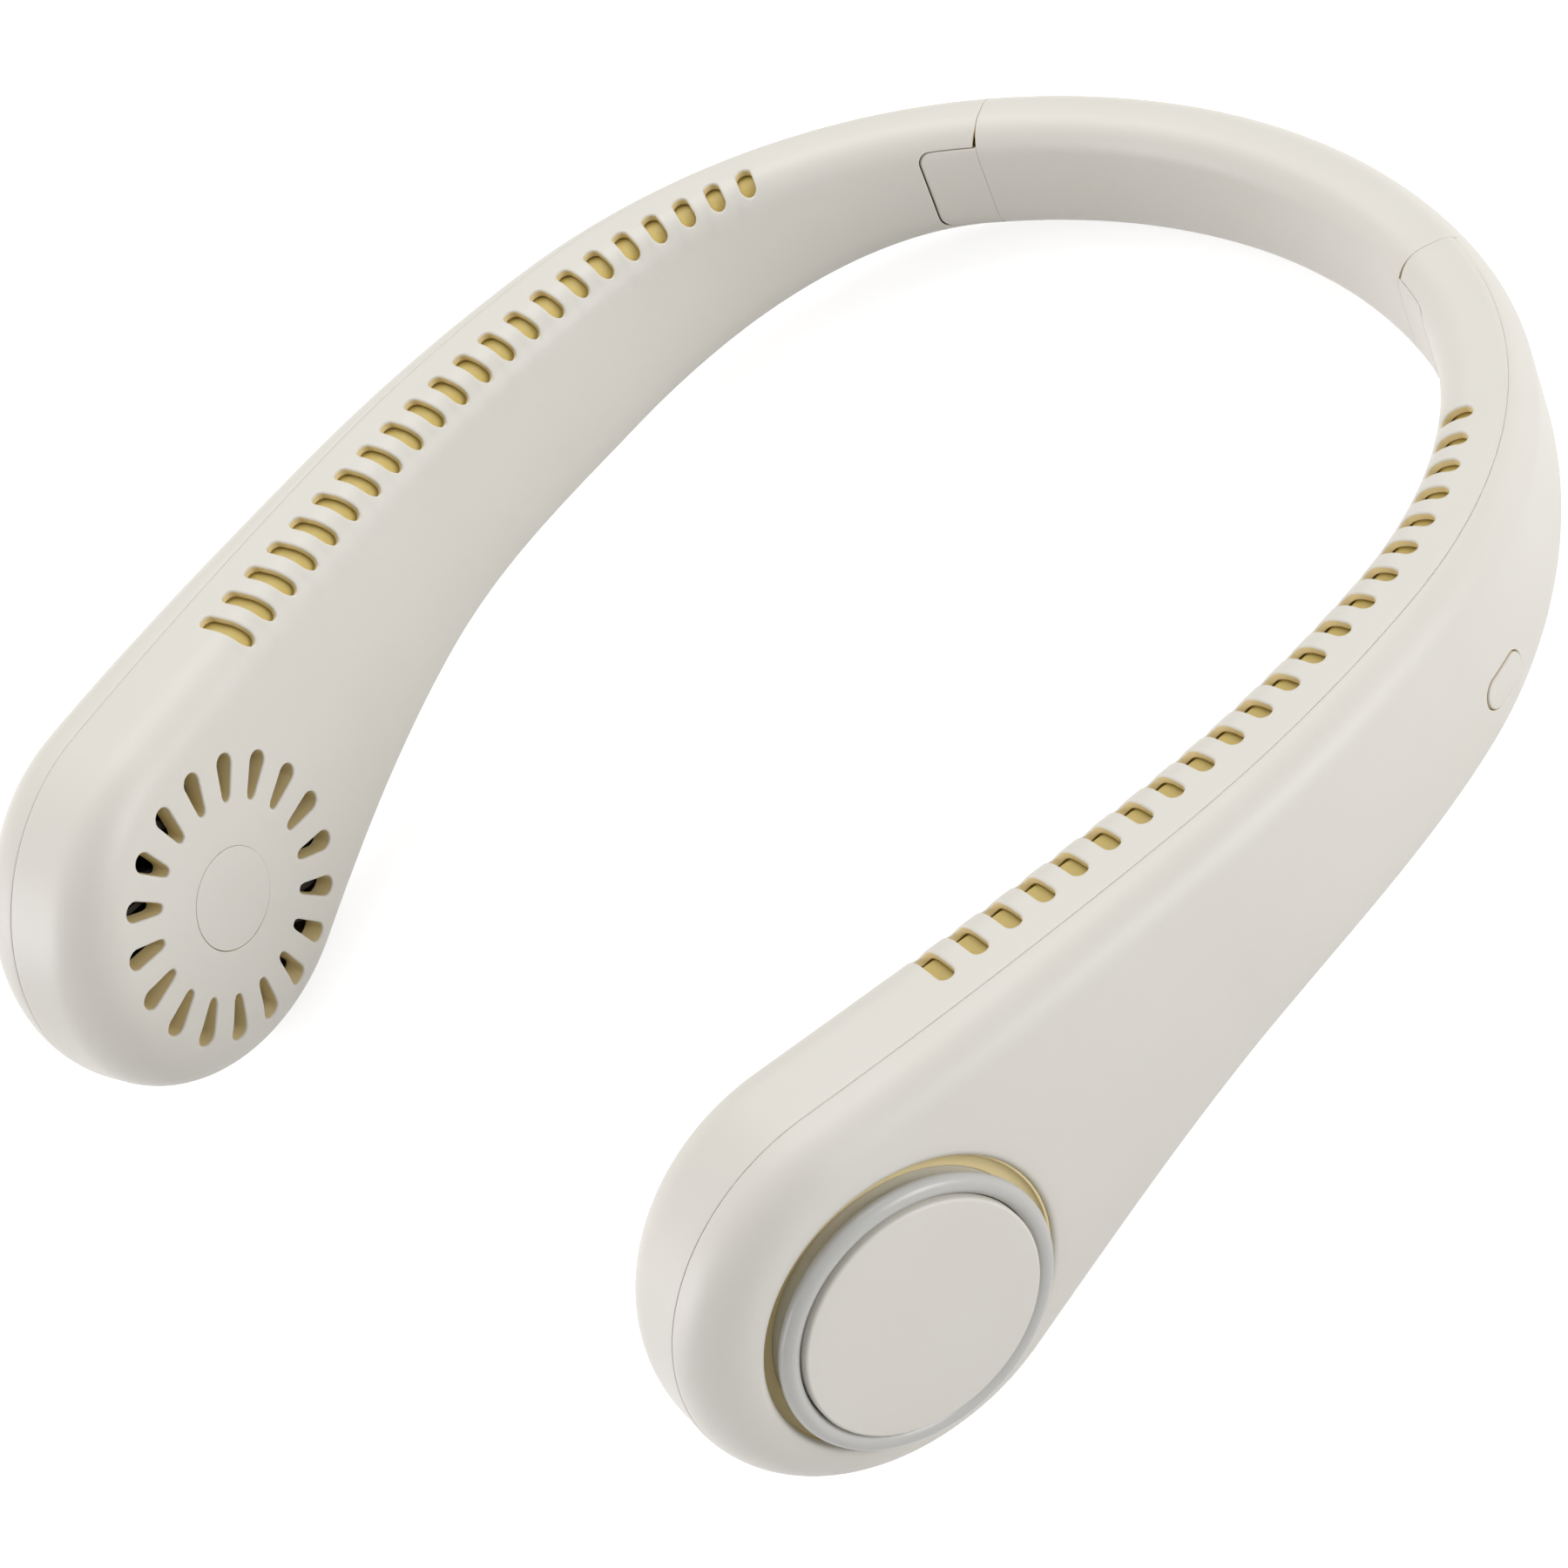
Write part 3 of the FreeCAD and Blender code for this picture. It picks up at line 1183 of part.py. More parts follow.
print("pieces %d, rest tilt %.3f degrees" % (len(pieces), math.degrees(TILT)))
pin_foot = SEAM_AT.multVec(Vector(size("pin_reach"), 0, PIN_OFFSET)) - UP * size("band_height") / 2
print("left hinge pin at", shown(REST.multVec(pin_foot)), "along", shown(REST.Rotation.multVec(UP)))
print("left turbine at", shown(REST.multVec(AXIS.Base)),
      "along", shown(REST.multiply(AXIS).Rotation.multVec(Vector(0, 0, 1))))
print("power button at", shown(REST.multVec(BUTTON_AT.Base)),
      "along", shown(REST.multiply(BUTTON_AT).Rotation.multVec(Vector(0, 0, 1))))
neck_side = Vector(0, size("band_radius") - size("band_width") / 2, -size("band_height") / 2)
print("neck rest at", shown(REST.multVec(neck_side)), "along", shown(REST.Rotation.multVec(Vector(0, -1, 0))))
mouth, _, mouth_outward = spine(SEAM + size("button_place"))
mouth = mouth + mouth_outward * (board_face() - size("board_thick") - size("socket_thick") / 2)
mouth = mouth - UP * arm_height(SEAM + size("button_place"))
print("charging mouth at", shown(REST.multVec(mouth)), "along", shown(REST.Rotation.multVec(-UP)))
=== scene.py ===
# %% [markdown]
# # An electric neck fan
# The collar is a moulded plastic tube in a U: a short neckband behind the neck and a hollow arm on each
# side, with a turbine in its round end. This lesson rebuilds its skins as surfaces worked out with numpy,
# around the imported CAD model, which says where everything is. The CAD pieces inside stay as they are,
# apart from the screws of the intake rings, which get a little shorter.

# %% Load the frame
import json

import bmesh
import bpy
import numpy as np
from mathutils import Matrix


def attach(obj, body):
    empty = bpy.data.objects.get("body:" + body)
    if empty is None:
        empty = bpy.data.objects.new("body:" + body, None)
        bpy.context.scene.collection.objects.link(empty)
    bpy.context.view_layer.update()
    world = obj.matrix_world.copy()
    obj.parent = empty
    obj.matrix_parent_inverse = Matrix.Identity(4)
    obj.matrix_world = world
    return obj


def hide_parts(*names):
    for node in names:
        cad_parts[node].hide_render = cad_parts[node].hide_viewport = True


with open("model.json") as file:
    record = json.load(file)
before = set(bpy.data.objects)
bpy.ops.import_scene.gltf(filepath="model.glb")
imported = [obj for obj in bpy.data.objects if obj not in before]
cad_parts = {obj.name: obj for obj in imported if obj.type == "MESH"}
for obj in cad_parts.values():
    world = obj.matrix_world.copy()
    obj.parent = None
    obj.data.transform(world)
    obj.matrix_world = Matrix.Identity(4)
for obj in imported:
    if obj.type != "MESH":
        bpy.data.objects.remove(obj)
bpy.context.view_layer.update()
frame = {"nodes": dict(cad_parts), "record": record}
nodes = frame["nodes"]
scene = bpy.context.scene
print("nodes in the frame:", len(nodes))

# %% [markdown]
# ## The middle line
# Seen from above, the collar follows four arcs that meet without a corner, from the rear of the neckband
# to the turbine's axis. Every surface is drawn along this line, so it comes first. Lengths are in
# millimetres in the collar's own frame, with the top edge on z = 0, and become metres at the very end.

# %% Middle line
BAND_RADIUS, BAND_TURN = 98.0, np.radians(27.0)
SHOULDER_RADIUS, SHOULDER_TURN = 69.5, np.radians(57.3)
ARM_RADIUS, ARM_LENGTH = 192.0, 45.6
FRONT_RADIUS, FRONT_LENGTH = 675.0, 57.0
ARC_RADII = np.array([BAND_RADIUS, SHOULDER_RADIUS, ARM_RADIUS, FRONT_RADIUS])
ARC_LENGTHS = np.array([BAND_RADIUS * BAND_TURN, SHOULDER_RADIUS * SHOULDER_TURN, ARM_LENGTH, FRONT_LENGTH])
ARC_PLACES = np.concatenate([[0.0], np.cumsum(ARC_LENGTHS)])
ARC_HEADINGS = np.concatenate([[0.0], np.cumsum(ARC_LENGTHS / ARC_RADII)])
SEAM = ARC_PLACES[1]
AXIS = ARC_PLACES[4]
UP = np.array([0.0, 0.0, 1.0])
TINY = 1e-9


def heading_vectors(heading):
    """Outward (sin h, cos h) and forward (cos h, -sin h) in plan, where h is the heading from the rear."""
    level = np.zeros_like(heading)
    outward = np.stack([np.sin(heading), np.cos(heading), level], -1)
    forward = np.stack([np.cos(heading), -np.sin(heading), level], -1)
    return outward, forward


joint_outward, _ = heading_vectors(ARC_HEADINGS[:4])
ARC_CENTRES = np.zeros((4, 3))
for k in range(1, 4):
    ARC_CENTRES[k] = ARC_CENTRES[k - 1] + (ARC_RADII[k - 1] - ARC_RADII[k]) * joint_outward[k]


def spine(place):
    """Point, forward and outward at a distance along the middle line.

    On each arc the point is centre + radius * outward; past the turbine's axis the line runs on straight.
    """
    place = np.asarray(place, float)
    on_arc = np.minimum(place, AXIS)
    k = np.clip(np.searchsorted(ARC_PLACES, on_arc, side="right") - 1, 0, 3)
    outward, forward = heading_vectors(ARC_HEADINGS[k] + (on_arc - ARC_PLACES[k]) / ARC_RADII[k])
    point = ARC_CENTRES[k] + ARC_RADII[k][..., None] * outward + (place - on_arc)[..., None] * forward
    return point, forward, outward


print("seam at %.1f mm and turbine axis at %.1f mm along the line" % (SEAM, AXIS))

# %% [markdown]
# ## Height, thickness and edge rounding
# The arm grows from the slim neckband to the round housing. Each law is a chain of cubic (Hermite)
# pieces through a few measured stations, and the lower edge ends on the housing's circle.

# %% Growth of the arm
HOUSING_RADIUS, HOUSING_WIDTH = 28.6, 22.8
FLARE = np.radians(26.5)
FLARE_PLACE = AXIS - HOUSING_RADIUS * np.sin(FLARE)
FLARE_DEPTH = HOUSING_RADIUS * (1 + np.cos(FLARE))
BAND_HEIGHT, BAND_WIDTH, BAND_EDGE = 18.8, 11.6, 4.8
HEIGHTS = (BAND_HEIGHT, 29.6, 36.6, FLARE_DEPTH)
WIDTHS = (BAND_WIDTH, 16.6, 19.3, HOUSING_WIDTH)
NECK_TOP_EDGE, OUTER_TOP_EDGE, LOW_EDGE = 6.6, 6.2, 11.2


def through_stations(place, last_place, values, last_slope):
    """Cubic Hermite chain: level at the seam, mean slopes between, a given slope at the last station."""
    places = np.append(ARC_PLACES[1:4], last_place)
    values = np.array(values)
    middle = (values[2:] - values[:-2]) / (places[2:] - places[:-2])
    slopes = np.concatenate([[0.0], middle, [last_slope]])
    place = np.clip(place, places[0], places[-1])
    k = np.clip(np.searchsorted(places, place, side="right") - 1, 0, 2)
    length = places[k + 1] - places[k]
    t = (place - places[k]) / length
    rise = (2 * t**3 - 3 * t**2 + 1) * values[k] + (3 * t**2 - 2 * t**3) * values[k + 1]
    return rise + length * ((t**3 - 2 * t**2 + t) * slopes[k] + (t**3 - t**2) * slopes[k + 1])


def arm_height(place):
    """Depth of the lower edge: the chain up to the flare, then radius + sqrt(radius^2 - run^2)."""
    run = np.clip(place, FLARE_PLACE, AXIS) - AXIS
    chained = through_stations(place, FLARE_PLACE, HEIGHTS, np.tan(FLARE))
    return np.where(place > FLARE_PLACE, HOUSING_RADIUS + np.sqrt(HOUSING_RADIUS**2 - run**2), chained)


def arm_width(place):
    """Thickness of the arm."""
    return through_stations(place, AXIS, WIDTHS, 0.0)


def arm_edge(place, side, low):
    """Edge rounding on the neck side (-1) or the outer side (+1), growing evenly along the arm.

    low is 0 on the top edge and 1 on the lower edge, which ends almost half round.
    """
    share = np.clip((place - SEAM) / (AXIS - SEAM), 0, 1)
    neck, outer = (top + low * (LOW_EDGE - top) for top in (NECK_TOP_EDGE, OUTER_TOP_EDGE))
    return BAND_EDGE + share * (np.where(np.asarray(side) < 0, neck, outer) - BAND_EDGE)


print("height %.1f mm at the seam and %.1f mm at the axis" % tuple(arm_height(ARC_PLACES[[1, 4]])))

# %% [markdown]
# ## The skin
# A cross-section is a rounded rectangle. A path over it is measured from the middle of the top or the
# lower edge: flat at first, then round the edge, then along the side. A column of the skin starts on the
# outline seen from the side (top edge, tip circle or lower edge) and goes inward from there.

# %% Skin of the arm


def top_edge(place):
    """Outline column at the top: starts at level 0 and goes down."""
    zero = np.zeros_like(place)
    return place, zero, zero, zero - 1, zero


def low_edge(place):
    """Outline column at the lower edge: starts at minus the height and goes up."""
    zero = np.zeros_like(place)
    return place, -arm_height(place), zero, zero + 1, zero + 1


def tip_edge(angle):
    """Outline column on the housing's circle, at an angle from forward to up: goes to the centre."""
    along, rise = np.cos(angle), np.sin(angle)
    return AXIS + HOUSING_RADIUS * along, HOUSING_RADIUS * (rise - 1), -along, -rise, (1 - rise) / 2


def skin(column, path, side):
    """Point and outward direction on the skin; a negative path goes over to the other side.

    With r the edge rounding, f = width / 2 - r the flat half and a = (path - f) / r held between 0 and a
    right angle, the offset is min(path, f) + r sin a, and the depth under the outline is r (1 - cos a)
    and then the rest of the path.
    """
    place, level, along, rise, low = column
    way = np.where(path < 0, -side, side)
    r = arm_edge(place, way, low)
    flat = arm_width(place) / 2 - r
    run = np.abs(path) - flat
    turn = np.clip(run / r, 0, np.pi / 2)
    offset = way * (flat + np.minimum(run, 0) + r * np.sin(turn))
    depth = r * (1 - np.cos(turn)) + np.maximum(run - r * np.pi / 2, 0)
    point, forward, outward = spine(place + along * depth)
    facing = outward * (way * np.sin(turn))[..., None]
    inward = forward * along[..., None] + UP * rise[..., None]
    facing = facing - inward * np.cos(turn)[..., None]
    return point + outward * offset[..., None] + UP * (level + rise * depth)[..., None], facing


def path_at_offset(column, offset, side):
    """Path where the skin has a given offset: the flat part, then r * arcsin."""
    way = np.where(np.asarray(offset) < 0, -1, 1)
    r = arm_edge(column[0], way, column[4])
    flat = arm_width(column[0]) / 2 - r
    over = np.abs(offset) - flat
    return side * way * (flat + np.where(over <= 0, over, r * np.arcsin(np.clip(over / r, 0, 1))))


def path_at_depth(column, depth, side):
    """Path where the skin has a given depth: r * arccos(1 - depth / r), then the straight side."""
    r = arm_edge(column[0], side, column[4])
    round_part = r * np.arccos(np.clip(1 - depth / r, 0, 1))
    return arm_width(column[0]) / 2 - r + np.where(depth < r, round_part, r * np.pi / 2 + depth - r)


def face(place, level, side):
    """The skin by place and level instead of by path: the nearest outline column, at its depth there."""
    along, rise = place - AXIS, level + HOUSING_RADIUS
    above, below = -level, level + arm_height(place)
    arm = [np.where(above > below, low, top) for low, top in zip(low_edge(place), top_edge(place))]
    tip = tip_edge(np.arctan2(rise, along))
    column = [np.where(place > AXIS, *parts) for parts in zip(tip, arm)]
    depth = np.where(place > AXIS, HOUSING_RADIUS - np.hypot(along, rise), np.minimum(above, below))
    return skin(column, path_at_depth(column, depth, side), side)


def housing_face(along, rise, side=-1):
    """Side of the housing, by the distances along and above its centre."""
    return face(AXIS + along, rise - HOUSING_RADIUS, side)


print("path to the neckband's mid-height: %.1f mm" % path_at_depth(top_edge(SEAM), BAND_HEIGHT / 2, -1))

# %% [markdown]
# ## Sheets, edges and cells
# A piece is a list of sheets: grids of points, the directions that they face, and the number of their
# finish. A moulded skin has an outer sheet, an inner one a wall's thickness behind it, and a small
# rounding on every edge, because no moulded edge is sharp and the rounding is what catches the light.
# The inner sheets take a yellower tone that paints the warm light shining through the thin plastic.

# %% Walls and rounded edges
# INSIDE sheets get a yellower tone that paints warm light shining through the thin plastic into hollows;
# CHANNEL sheets get a darker olive that paints shade and through-light on the slots' floor.
OUTSIDE, INSIDE, CHANNEL = range(3)
WALL = 2.0
ROUNDING_STEPS = np.array([0.25, 0.5, 0.75])


def walled(sheets, points, facing, wall=WALL):
    """Outer sheet and the inner one behind it."""
    sheets.append((points, facing, OUTSIDE))
    sheets.append((points - wall * facing, -facing, INSIDE))


def rounded_edge(sheets, beside, rim, rounding, wall=WALL, lip=0.0):
    """Edge of a walled sheet: a quadratic curve over the corner, the wall, and the way back inside.

    beside is the sheet's last row and rim the corner that the edge would have, each with its facing.

    The curve at t is (1-t)^2 near + 2t(1-t) corner + t^2 (corner - rounding * facing). Below it, a lip
    moves the wall forward, and a negative lip moves it back as a rebate.
    """
    (near, near_facing), (corner, facing) = beside, rim
    away = corner - near
    away = away / np.maximum(np.linalg.norm(away, axis=-1, keepdims=True), TINY)
    down, foot = corner - rounding * facing, corner - wall * facing + lip * away
    curve = [(1 - t) ** 2 * near + 2 * t * (1 - t) * corner + t**2 * down for t in ROUNDING_STEPS]
    lean = np.array([0, *ROUNDING_STEPS, 1])[:, None, None]
    sheets.append((np.stack([near, *curve, down]), facing * (1 - lean) + away * lean, OUTSIDE))
    if lip:
        shelf = np.sign(lip) * facing
        sheets.append((np.stack([down, down + lip * away]), np.stack([shelf, shelf]), OUTSIDE))
    # The wall and the way back take the inside tone, which paints warm through-light in the hollow.
    sheets.append((np.stack([down + lip * away, foot]), np.stack([away, away]), INSIDE))
    sheets.append((np.stack([foot, near - wall * near_facing]), np.stack([-facing, -near_facing]), INSIDE))


def closing_skin(sheets, surface, border, hole, walls, steps):
    """Walled skin whose loops close in evenly from a border to a hole; the wall changes on the way."""
    share = np.linspace(0, 1, steps + 1)[:, None, None]
    loops = border + (hole - border) * share
    wall = walls[0] + (walls[1] - walls[0]) * share
    walled(sheets, *surface(loops[..., 0], loops[..., 1]), wall)
    return loops, wall


def rim_edge(sheets, surface, near, corner, rounding, wall=WALL):
    """Rounded edge between two outlines on a surface."""
    rounded_edge(sheets, surface(*near.T), surface(*corner.T), rounding, wall)


def closed(loop):
    """Loop with its first point repeated at the end."""
    return np.concatenate([loop, loop[:1]])


def cell(sheets, surface, border, outline, rounding, walls=(WALL, WALL), steps=5):
    """Walled skin from a border to a hole, and the hole's rounded edge; outline(grow) is the hole's line."""
    near, corner = closed(outline(rounding)), closed(outline(0.0))
    closing_skin(sheets, surface, closed(border), near, walls, steps)
    rim_edge(sheets, surface, near, corner, rounding, walls[1])


def plate(sheets, surface, outline, rounding, wall, steps=6):
    """Solid plate inside an outline: the loops close in on its middle, and its edge is rounded."""
    near, corner = closed(outline(-rounding)), closed(outline(0.0))
    closing_skin(sheets, surface, near, near[:-1].mean(0), (wall, wall), steps)
    rim_edge(sheets, surface, near, corner, rounding, wall)


# %% Outlines of holes and plates


def arc(centre, radius, start, end, total=24):
    """Points of an arc between two angles in degrees."""
    angle = np.radians(np.linspace(start, end, total + 1))
    return np.stack([centre[0] + radius * np.cos(angle), centre[1] + radius * np.sin(angle)], -1)


def resample(points, total):
    """Evenly spaced points along a line of points, by its length."""
    length = np.concatenate([[0.0], np.cumsum(np.linalg.norm(np.diff(points, axis=0), axis=1))])
    want = np.linspace(0, length[-1], total + 1)
    return np.stack([np.interp(want, length, points[:, k]) for k in range(2)], -1)


def chain(corners, totals):
    """Line through corners, with a number of steps to each next one; the last corner is left out."""
    spans = zip(corners[:-1], corners[1:], totals)
    return np.concatenate([np.linspace(start, end, total + 1)[:-1] for start, end, total in spans])


def border_of(*rows):
    """Border from its rows of points, each given by its two coordinates; their last points are left out."""
    return np.concatenate([np.stack(np.broadcast_arrays(*row), -1)[:-1] for row in rows])


def tongue_shape(start, end, top, low, r, steps, arc_steps, end_steps):
    """Line along the top, round two corners at the end with radius r, and back along the bottom."""
    upper = arc((end - r, top - r), r, 90, 0, arc_steps)
    lower = arc((end - r, low + r), r, 0, -90, arc_steps)
    tail = resample(np.concatenate([upper, lower]), end_steps)
    return np.concatenate([chain([(start, top), (end - r, top)], [steps]), tail[:-1],
                           np.linspace((end - r, low), (start, low), steps + 1)])


def belt(low, low_radius, high, high_radius, ends, sides):
    """Belt round two circles on the second axis, from the lower left: end, right side, end, left side."""
    lean = np.degrees(np.arcsin((low_radius - high_radius) / (high - low)))
    right = np.concatenate([arc((0, low), low_radius, -45, lean), arc((0, high), high_radius, lean, 45)])
    right = resample(right, sides)
    bottom, top = arc((0, low), low_radius, -135, -45, ends), arc((0, high), high_radius, 45, 135, ends)
    left = right[::-1] * [-1, 1]
    return np.concatenate([bottom[:-1], right[:-1], top[:-1], left[:-1]])


# %% [markdown]
# ## Materials
# The collar is satin ivory plastic. A moulded surface isn't perfectly even: it has a very fine texture
# from the tool, a slow drift of tone and a gloss that varies a little. All of it is worked out from Object
# coordinates, so it stays put when the pieces move.

# %% Plastic and metal finishes
DRIFT_SCALE, DRIFT_DETAIL, DRIFT_ENDS = 45.0, 3.0, (0.3, 0.7)
GRAIN_DETAIL, GRAIN_HEIGHT = 4.0, 0.00005
GLOSS_RANGE = 0.04


def feed(tree, node, inputs):
    """Gives a node's inputs their values, or links them to the outputs of other nodes."""
    for name, value in inputs.items():
        if isinstance(value, bpy.types.NodeSocket):
            tree.links.new(value, node.inputs[name])
        else:
            node.inputs[name].default_value = value


def add_node(tree, kind, inputs=(), operation=None):
    """New shader node with its inputs, by name or number."""
    node = tree.nodes.new("ShaderNode" + kind)
    if operation:
        node.operation = operation
    feed(tree, node, dict(inputs))
    return node


def linear(screen):
    """Screen colour from 0 to 255 as linear light: ((c + 0.055) / 1.055) ^ 2.4."""
    colour = ((np.array(screen) / 255 + 0.055) / 1.055) ** 2.4
    return (*colour.tolist(), 1.0)


def finish(name, colour, second, roughness, grain, bump, metallic=0.0, stretch=(1.0, 1.0, 1.0)):
    """Procedural finish: slow drift between two close tones, uneven gloss, fine grain as bump."""
    material = bpy.data.materials.new(name)
    material.use_nodes = True
    tree = material.node_tree
    place = add_node(tree, "TexCoord").outputs["Object"]
    drift = add_node(tree, "TexNoise", {"Vector": place, "Scale": DRIFT_SCALE, "Detail": DRIFT_DETAIL})
    tones = add_node(tree, "ValToRGB", {"Fac": drift.outputs["Fac"]})
    for element, position, tone in zip(tones.color_ramp.elements, DRIFT_ENDS, (colour, second)):
        element.position = position
        element.color = linear(tone)
    mapping = add_node(tree, "Mapping", {"Vector": place, "Scale": stretch}).outputs["Vector"]
    noise = add_node(tree, "TexNoise", {"Vector": mapping, "Scale": grain, "Detail": GRAIN_DETAIL})
    fine = noise.outputs["Fac"]
    gloss = add_node(tree, "MapRange", {"Value": fine, "To Min": roughness - GLOSS_RANGE,
                                        "To Max": roughness + GLOSS_RANGE})
    relief = add_node(tree, "Bump", {"Height": fine, "Strength": bump, "Distance": GRAIN_HEIGHT})
    feed(tree, tree.nodes["Principled BSDF"], {
        "Base Color": tones.outputs["Color"], "Roughness": gloss.outputs["Result"],
        "Normal": relief.outputs["Normal"], "Metallic": metallic})
    return material


IVORY = finish("satin_ivory_plastic", (226, 223, 213), (228, 225, 216), 0.46, 2600.0, 0.10)
# Yellower tone for inner sheets, walls and hollows: painted warm light, standing in for light that shines
# through the thin plastic.
INSIDE_PAINTED_GLOW = finish("inside_plastic_painted_glow", (230, 212, 160), (233, 216, 166), 0.55, 1800.0, 0.12)
# Darker olive for the slots' floor: painted shade, with painted warm light through the plastic.
GUIDE_PAINTED_SHADE = finish("air_channel_painted_shade", (204, 182, 104), (208, 187, 112), 0.55, 1800.0, 0.12)
finishes = {
    "ivory_shell": IVORY,
    "ivory_cap": IVORY,
    "grey_ring": finish("grey_ring_plastic", (196, 196, 191), (199, 199, 194), 0.30, 2200.0, 0.06),
    "turbine_black": finish("turbine_black_plastic", (30, 30, 31), (38, 38, 39), 0.42, 2400.0, 0.1),
}
for values in (
        ("duct_plastic", (205, 196, 170), (210, 201, 176), 0.6, 1800.0, 0.15),
        ("stator_steel", (96, 96, 100), (110, 110, 114), 0.5, 1500.0, 0.2, 0.9),
        ("bright_steel", (190, 190, 192), (200, 200, 202), 0.28, 900.0, 0.1, 1.0, (1.0, 1.0, 12.0)),
        ("bush_brass", (190, 150, 82), (200, 162, 92), 0.3, 1200.0, 0.1, 1.0),
        ("cell_wrap", (176, 178, 182), (184, 186, 190), 0.4, 1500.0, 0.2, 0.6),
        ("board_green", (24, 82, 52), (30, 92, 58), 0.35, 1500.0, 0.2),
        ("lead_rubber", (40, 40, 42), (48, 48, 50), 0.6, 1800.0, 0.2)):
    finishes[values[0]] = finish(*values)
slot_of = {entry["node"]: entry["material_slot"] for entry in frame["record"]["subparts"]}
for name, node in nodes.items():
    node.data.materials.clear()
    node.data.materials.append(finishes[slot_of[name]])
print("finishes:", len(finishes))

# %% [markdown]
# ## From sheets to a Blender mesh
# The collar was designed level, and rests on its lower edges with the neckband low. One turn and one
# lift take it there. The right side is the mirrored left side with its faces turned round, so that they
# still point outward. A new piece stands for a CAD node, rides on the same body and takes its finish.

# %% Mesh of a piece
TILT = np.radians(13.097133568)
REST_SHIFT, REST_LIFT = 1.559349, 40.869478
MM = 0.001
WELD = 3e-6
SHARP = np.radians(50)


def to_rest(points):
    """Collar frame to the resting frame: y' = y cos + z sin + shift, z' = z cos - y sin + lift, in metres."""
    x, y, z = points[..., 0], points[..., 1], points[..., 2]
    across = y * np.cos(TILT) + z * np.sin(TILT) + REST_SHIFT
    height = z * np.cos(TILT) - y * np.sin(TILT) + REST_LIFT
    return np.stack([x, across, height], -1) * MM


def make_piece(name, sheets, body, slot, stands_for, right=False):
    """Mesh of all sheets, each turned to face its own way, welded where they meet, with corners filled.

    It gets its finishes (outside; inside, tinted to paint warm through-light; air guide, darkened to paint
    shade), its body and the CAD node that it stands for.
    """
    points, quads, finish_index, start = [], [], [], 0
    for grid, facing, finish_number in sheets:
        rows, columns = grid.shape[:2]
        index = np.arange(rows * columns).reshape(rows, columns) + start
        normal = np.cross(grid[1:, :-1] - grid[:-1, :-1], grid[:-1, 1:] - grid[:-1, :-1])
        backward = (normal * facing[:-1, :-1]).sum() < 0
        corners = np.stack([index[:-1, :-1], index[1:, :-1], index[1:, 1:], index[:-1, 1:]], -1)
        corners = corners.reshape(-1, 4)
        quads.append(corners[:, ::-1] if backward != right else corners)
        finish_index.append(np.full(len(corners), finish_number))
        points.append(grid.reshape(-1, 3))
        start += rows * columns
    points = to_rest(np.concatenate(points) * ([-1, 1, 1] if right else [1, 1, 1]))
    mesh = bpy.data.meshes.new(name)
    mesh.from_pydata(points.tolist(), [], np.concatenate(quads).tolist())
    mesh.polygons.foreach_set("material_index", np.concatenate(finish_index))
    work = bmesh.new()
    work.from_mesh(mesh)
    bmesh.ops.remove_doubles(work, verts=work.verts, dist=WELD)
    bmesh.ops.holes_fill(work, edges=[edge for edge in work.edges if edge.is_boundary], sides=0)
    open_edges = sum(edge.is_boundary for edge in work.edges)
    work.to_mesh(mesh)
    work.free()
    mesh.shade_smooth()
    mesh.set_sharp_from_angle(angle=SHARP)
    for material in (finishes[slot], INSIDE_PAINTED_GLOW, GUIDE_PAINTED_SHADE):
        mesh.materials.append(material)
    piece = bpy.data.objects.new(name, mesh)
    scene.collection.objects.link(piece)
    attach(piece, body)
    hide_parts(stands_for)
    print("%s: %d faces, %d open edges" % (name, len(mesh.polygons), open_edges))


def both_sides(fill, *names):
    """Left and right piece of one design: fill adds the sheets, told whether it is the right one.

    The names of piece, body, slot and CAD node have a gap for the side.
    """
    for side in ("left", "right"):
        sheets, right = [], side == "right"
        fill(sheets, right)
        name, body, slot, stands_for = (name.format(side) for name in names)
        make_piece(name, sheets, body, slot, stands_for, right)


# %% [markdown]
# ## Where the columns stand
# Columns are shared by neighbouring sheets, so that their points meet. Each air slot has its own cell of
# six columns, and the ring of skin round the grille ends in the columns of the arm.

# %% Columns and rows
SEAM_GAP = 0.08
BAND_END = SEAM - 1.9
ARM_START = BAND_END + SEAM_GAP
HINGE_END = SEAM + 14.0
SLOT_FIRST, SLOT_PITCH, SLOT_COUNT = 35.8, 5.3, 22
HINGE_COLUMNS, PLAIN_COLUMNS, CELL_COLUMNS, TIP_COLUMNS = 12, 22, 6, 108
PATH_ROWS, SIDE_ROWS, FLAT_ROWS = 14, 16, 5
CONTROL_CELLS = np.array([4, 8])
RING_CELL, RING_STEPS = 18, 7
RING_TOTAL = TIP_COLUMNS * 2
SOFT = 0.12
SNAP = 1e-6
slot_start = SEAM + SLOT_FIRST - SLOT_PITCH / 2
slot_end = slot_start + SLOT_PITCH * SLOT_COUNT
hinge_columns = np.linspace(ARM_START + SOFT, HINGE_END, HINGE_COLUMNS + 1)
plain_columns = np.linspace(HINGE_END, slot_start, PLAIN_COLUMNS + 1)
slot_columns = np.linspace(slot_start, slot_end, SLOT_COUNT * CELL_COLUMNS + 1)
end_columns = np.linspace(slot_end, AXIS, PLAIN_COLUMNS + 1)
body_columns = np.concatenate([plain_columns, slot_columns[1:], end_columns[1:]])
arm_columns = np.concatenate([hinge_columns, body_columns[1:]])
tip_angles = np.linspace(np.pi / 2, -np.pi / 2, TIP_COLUMNS + 1)
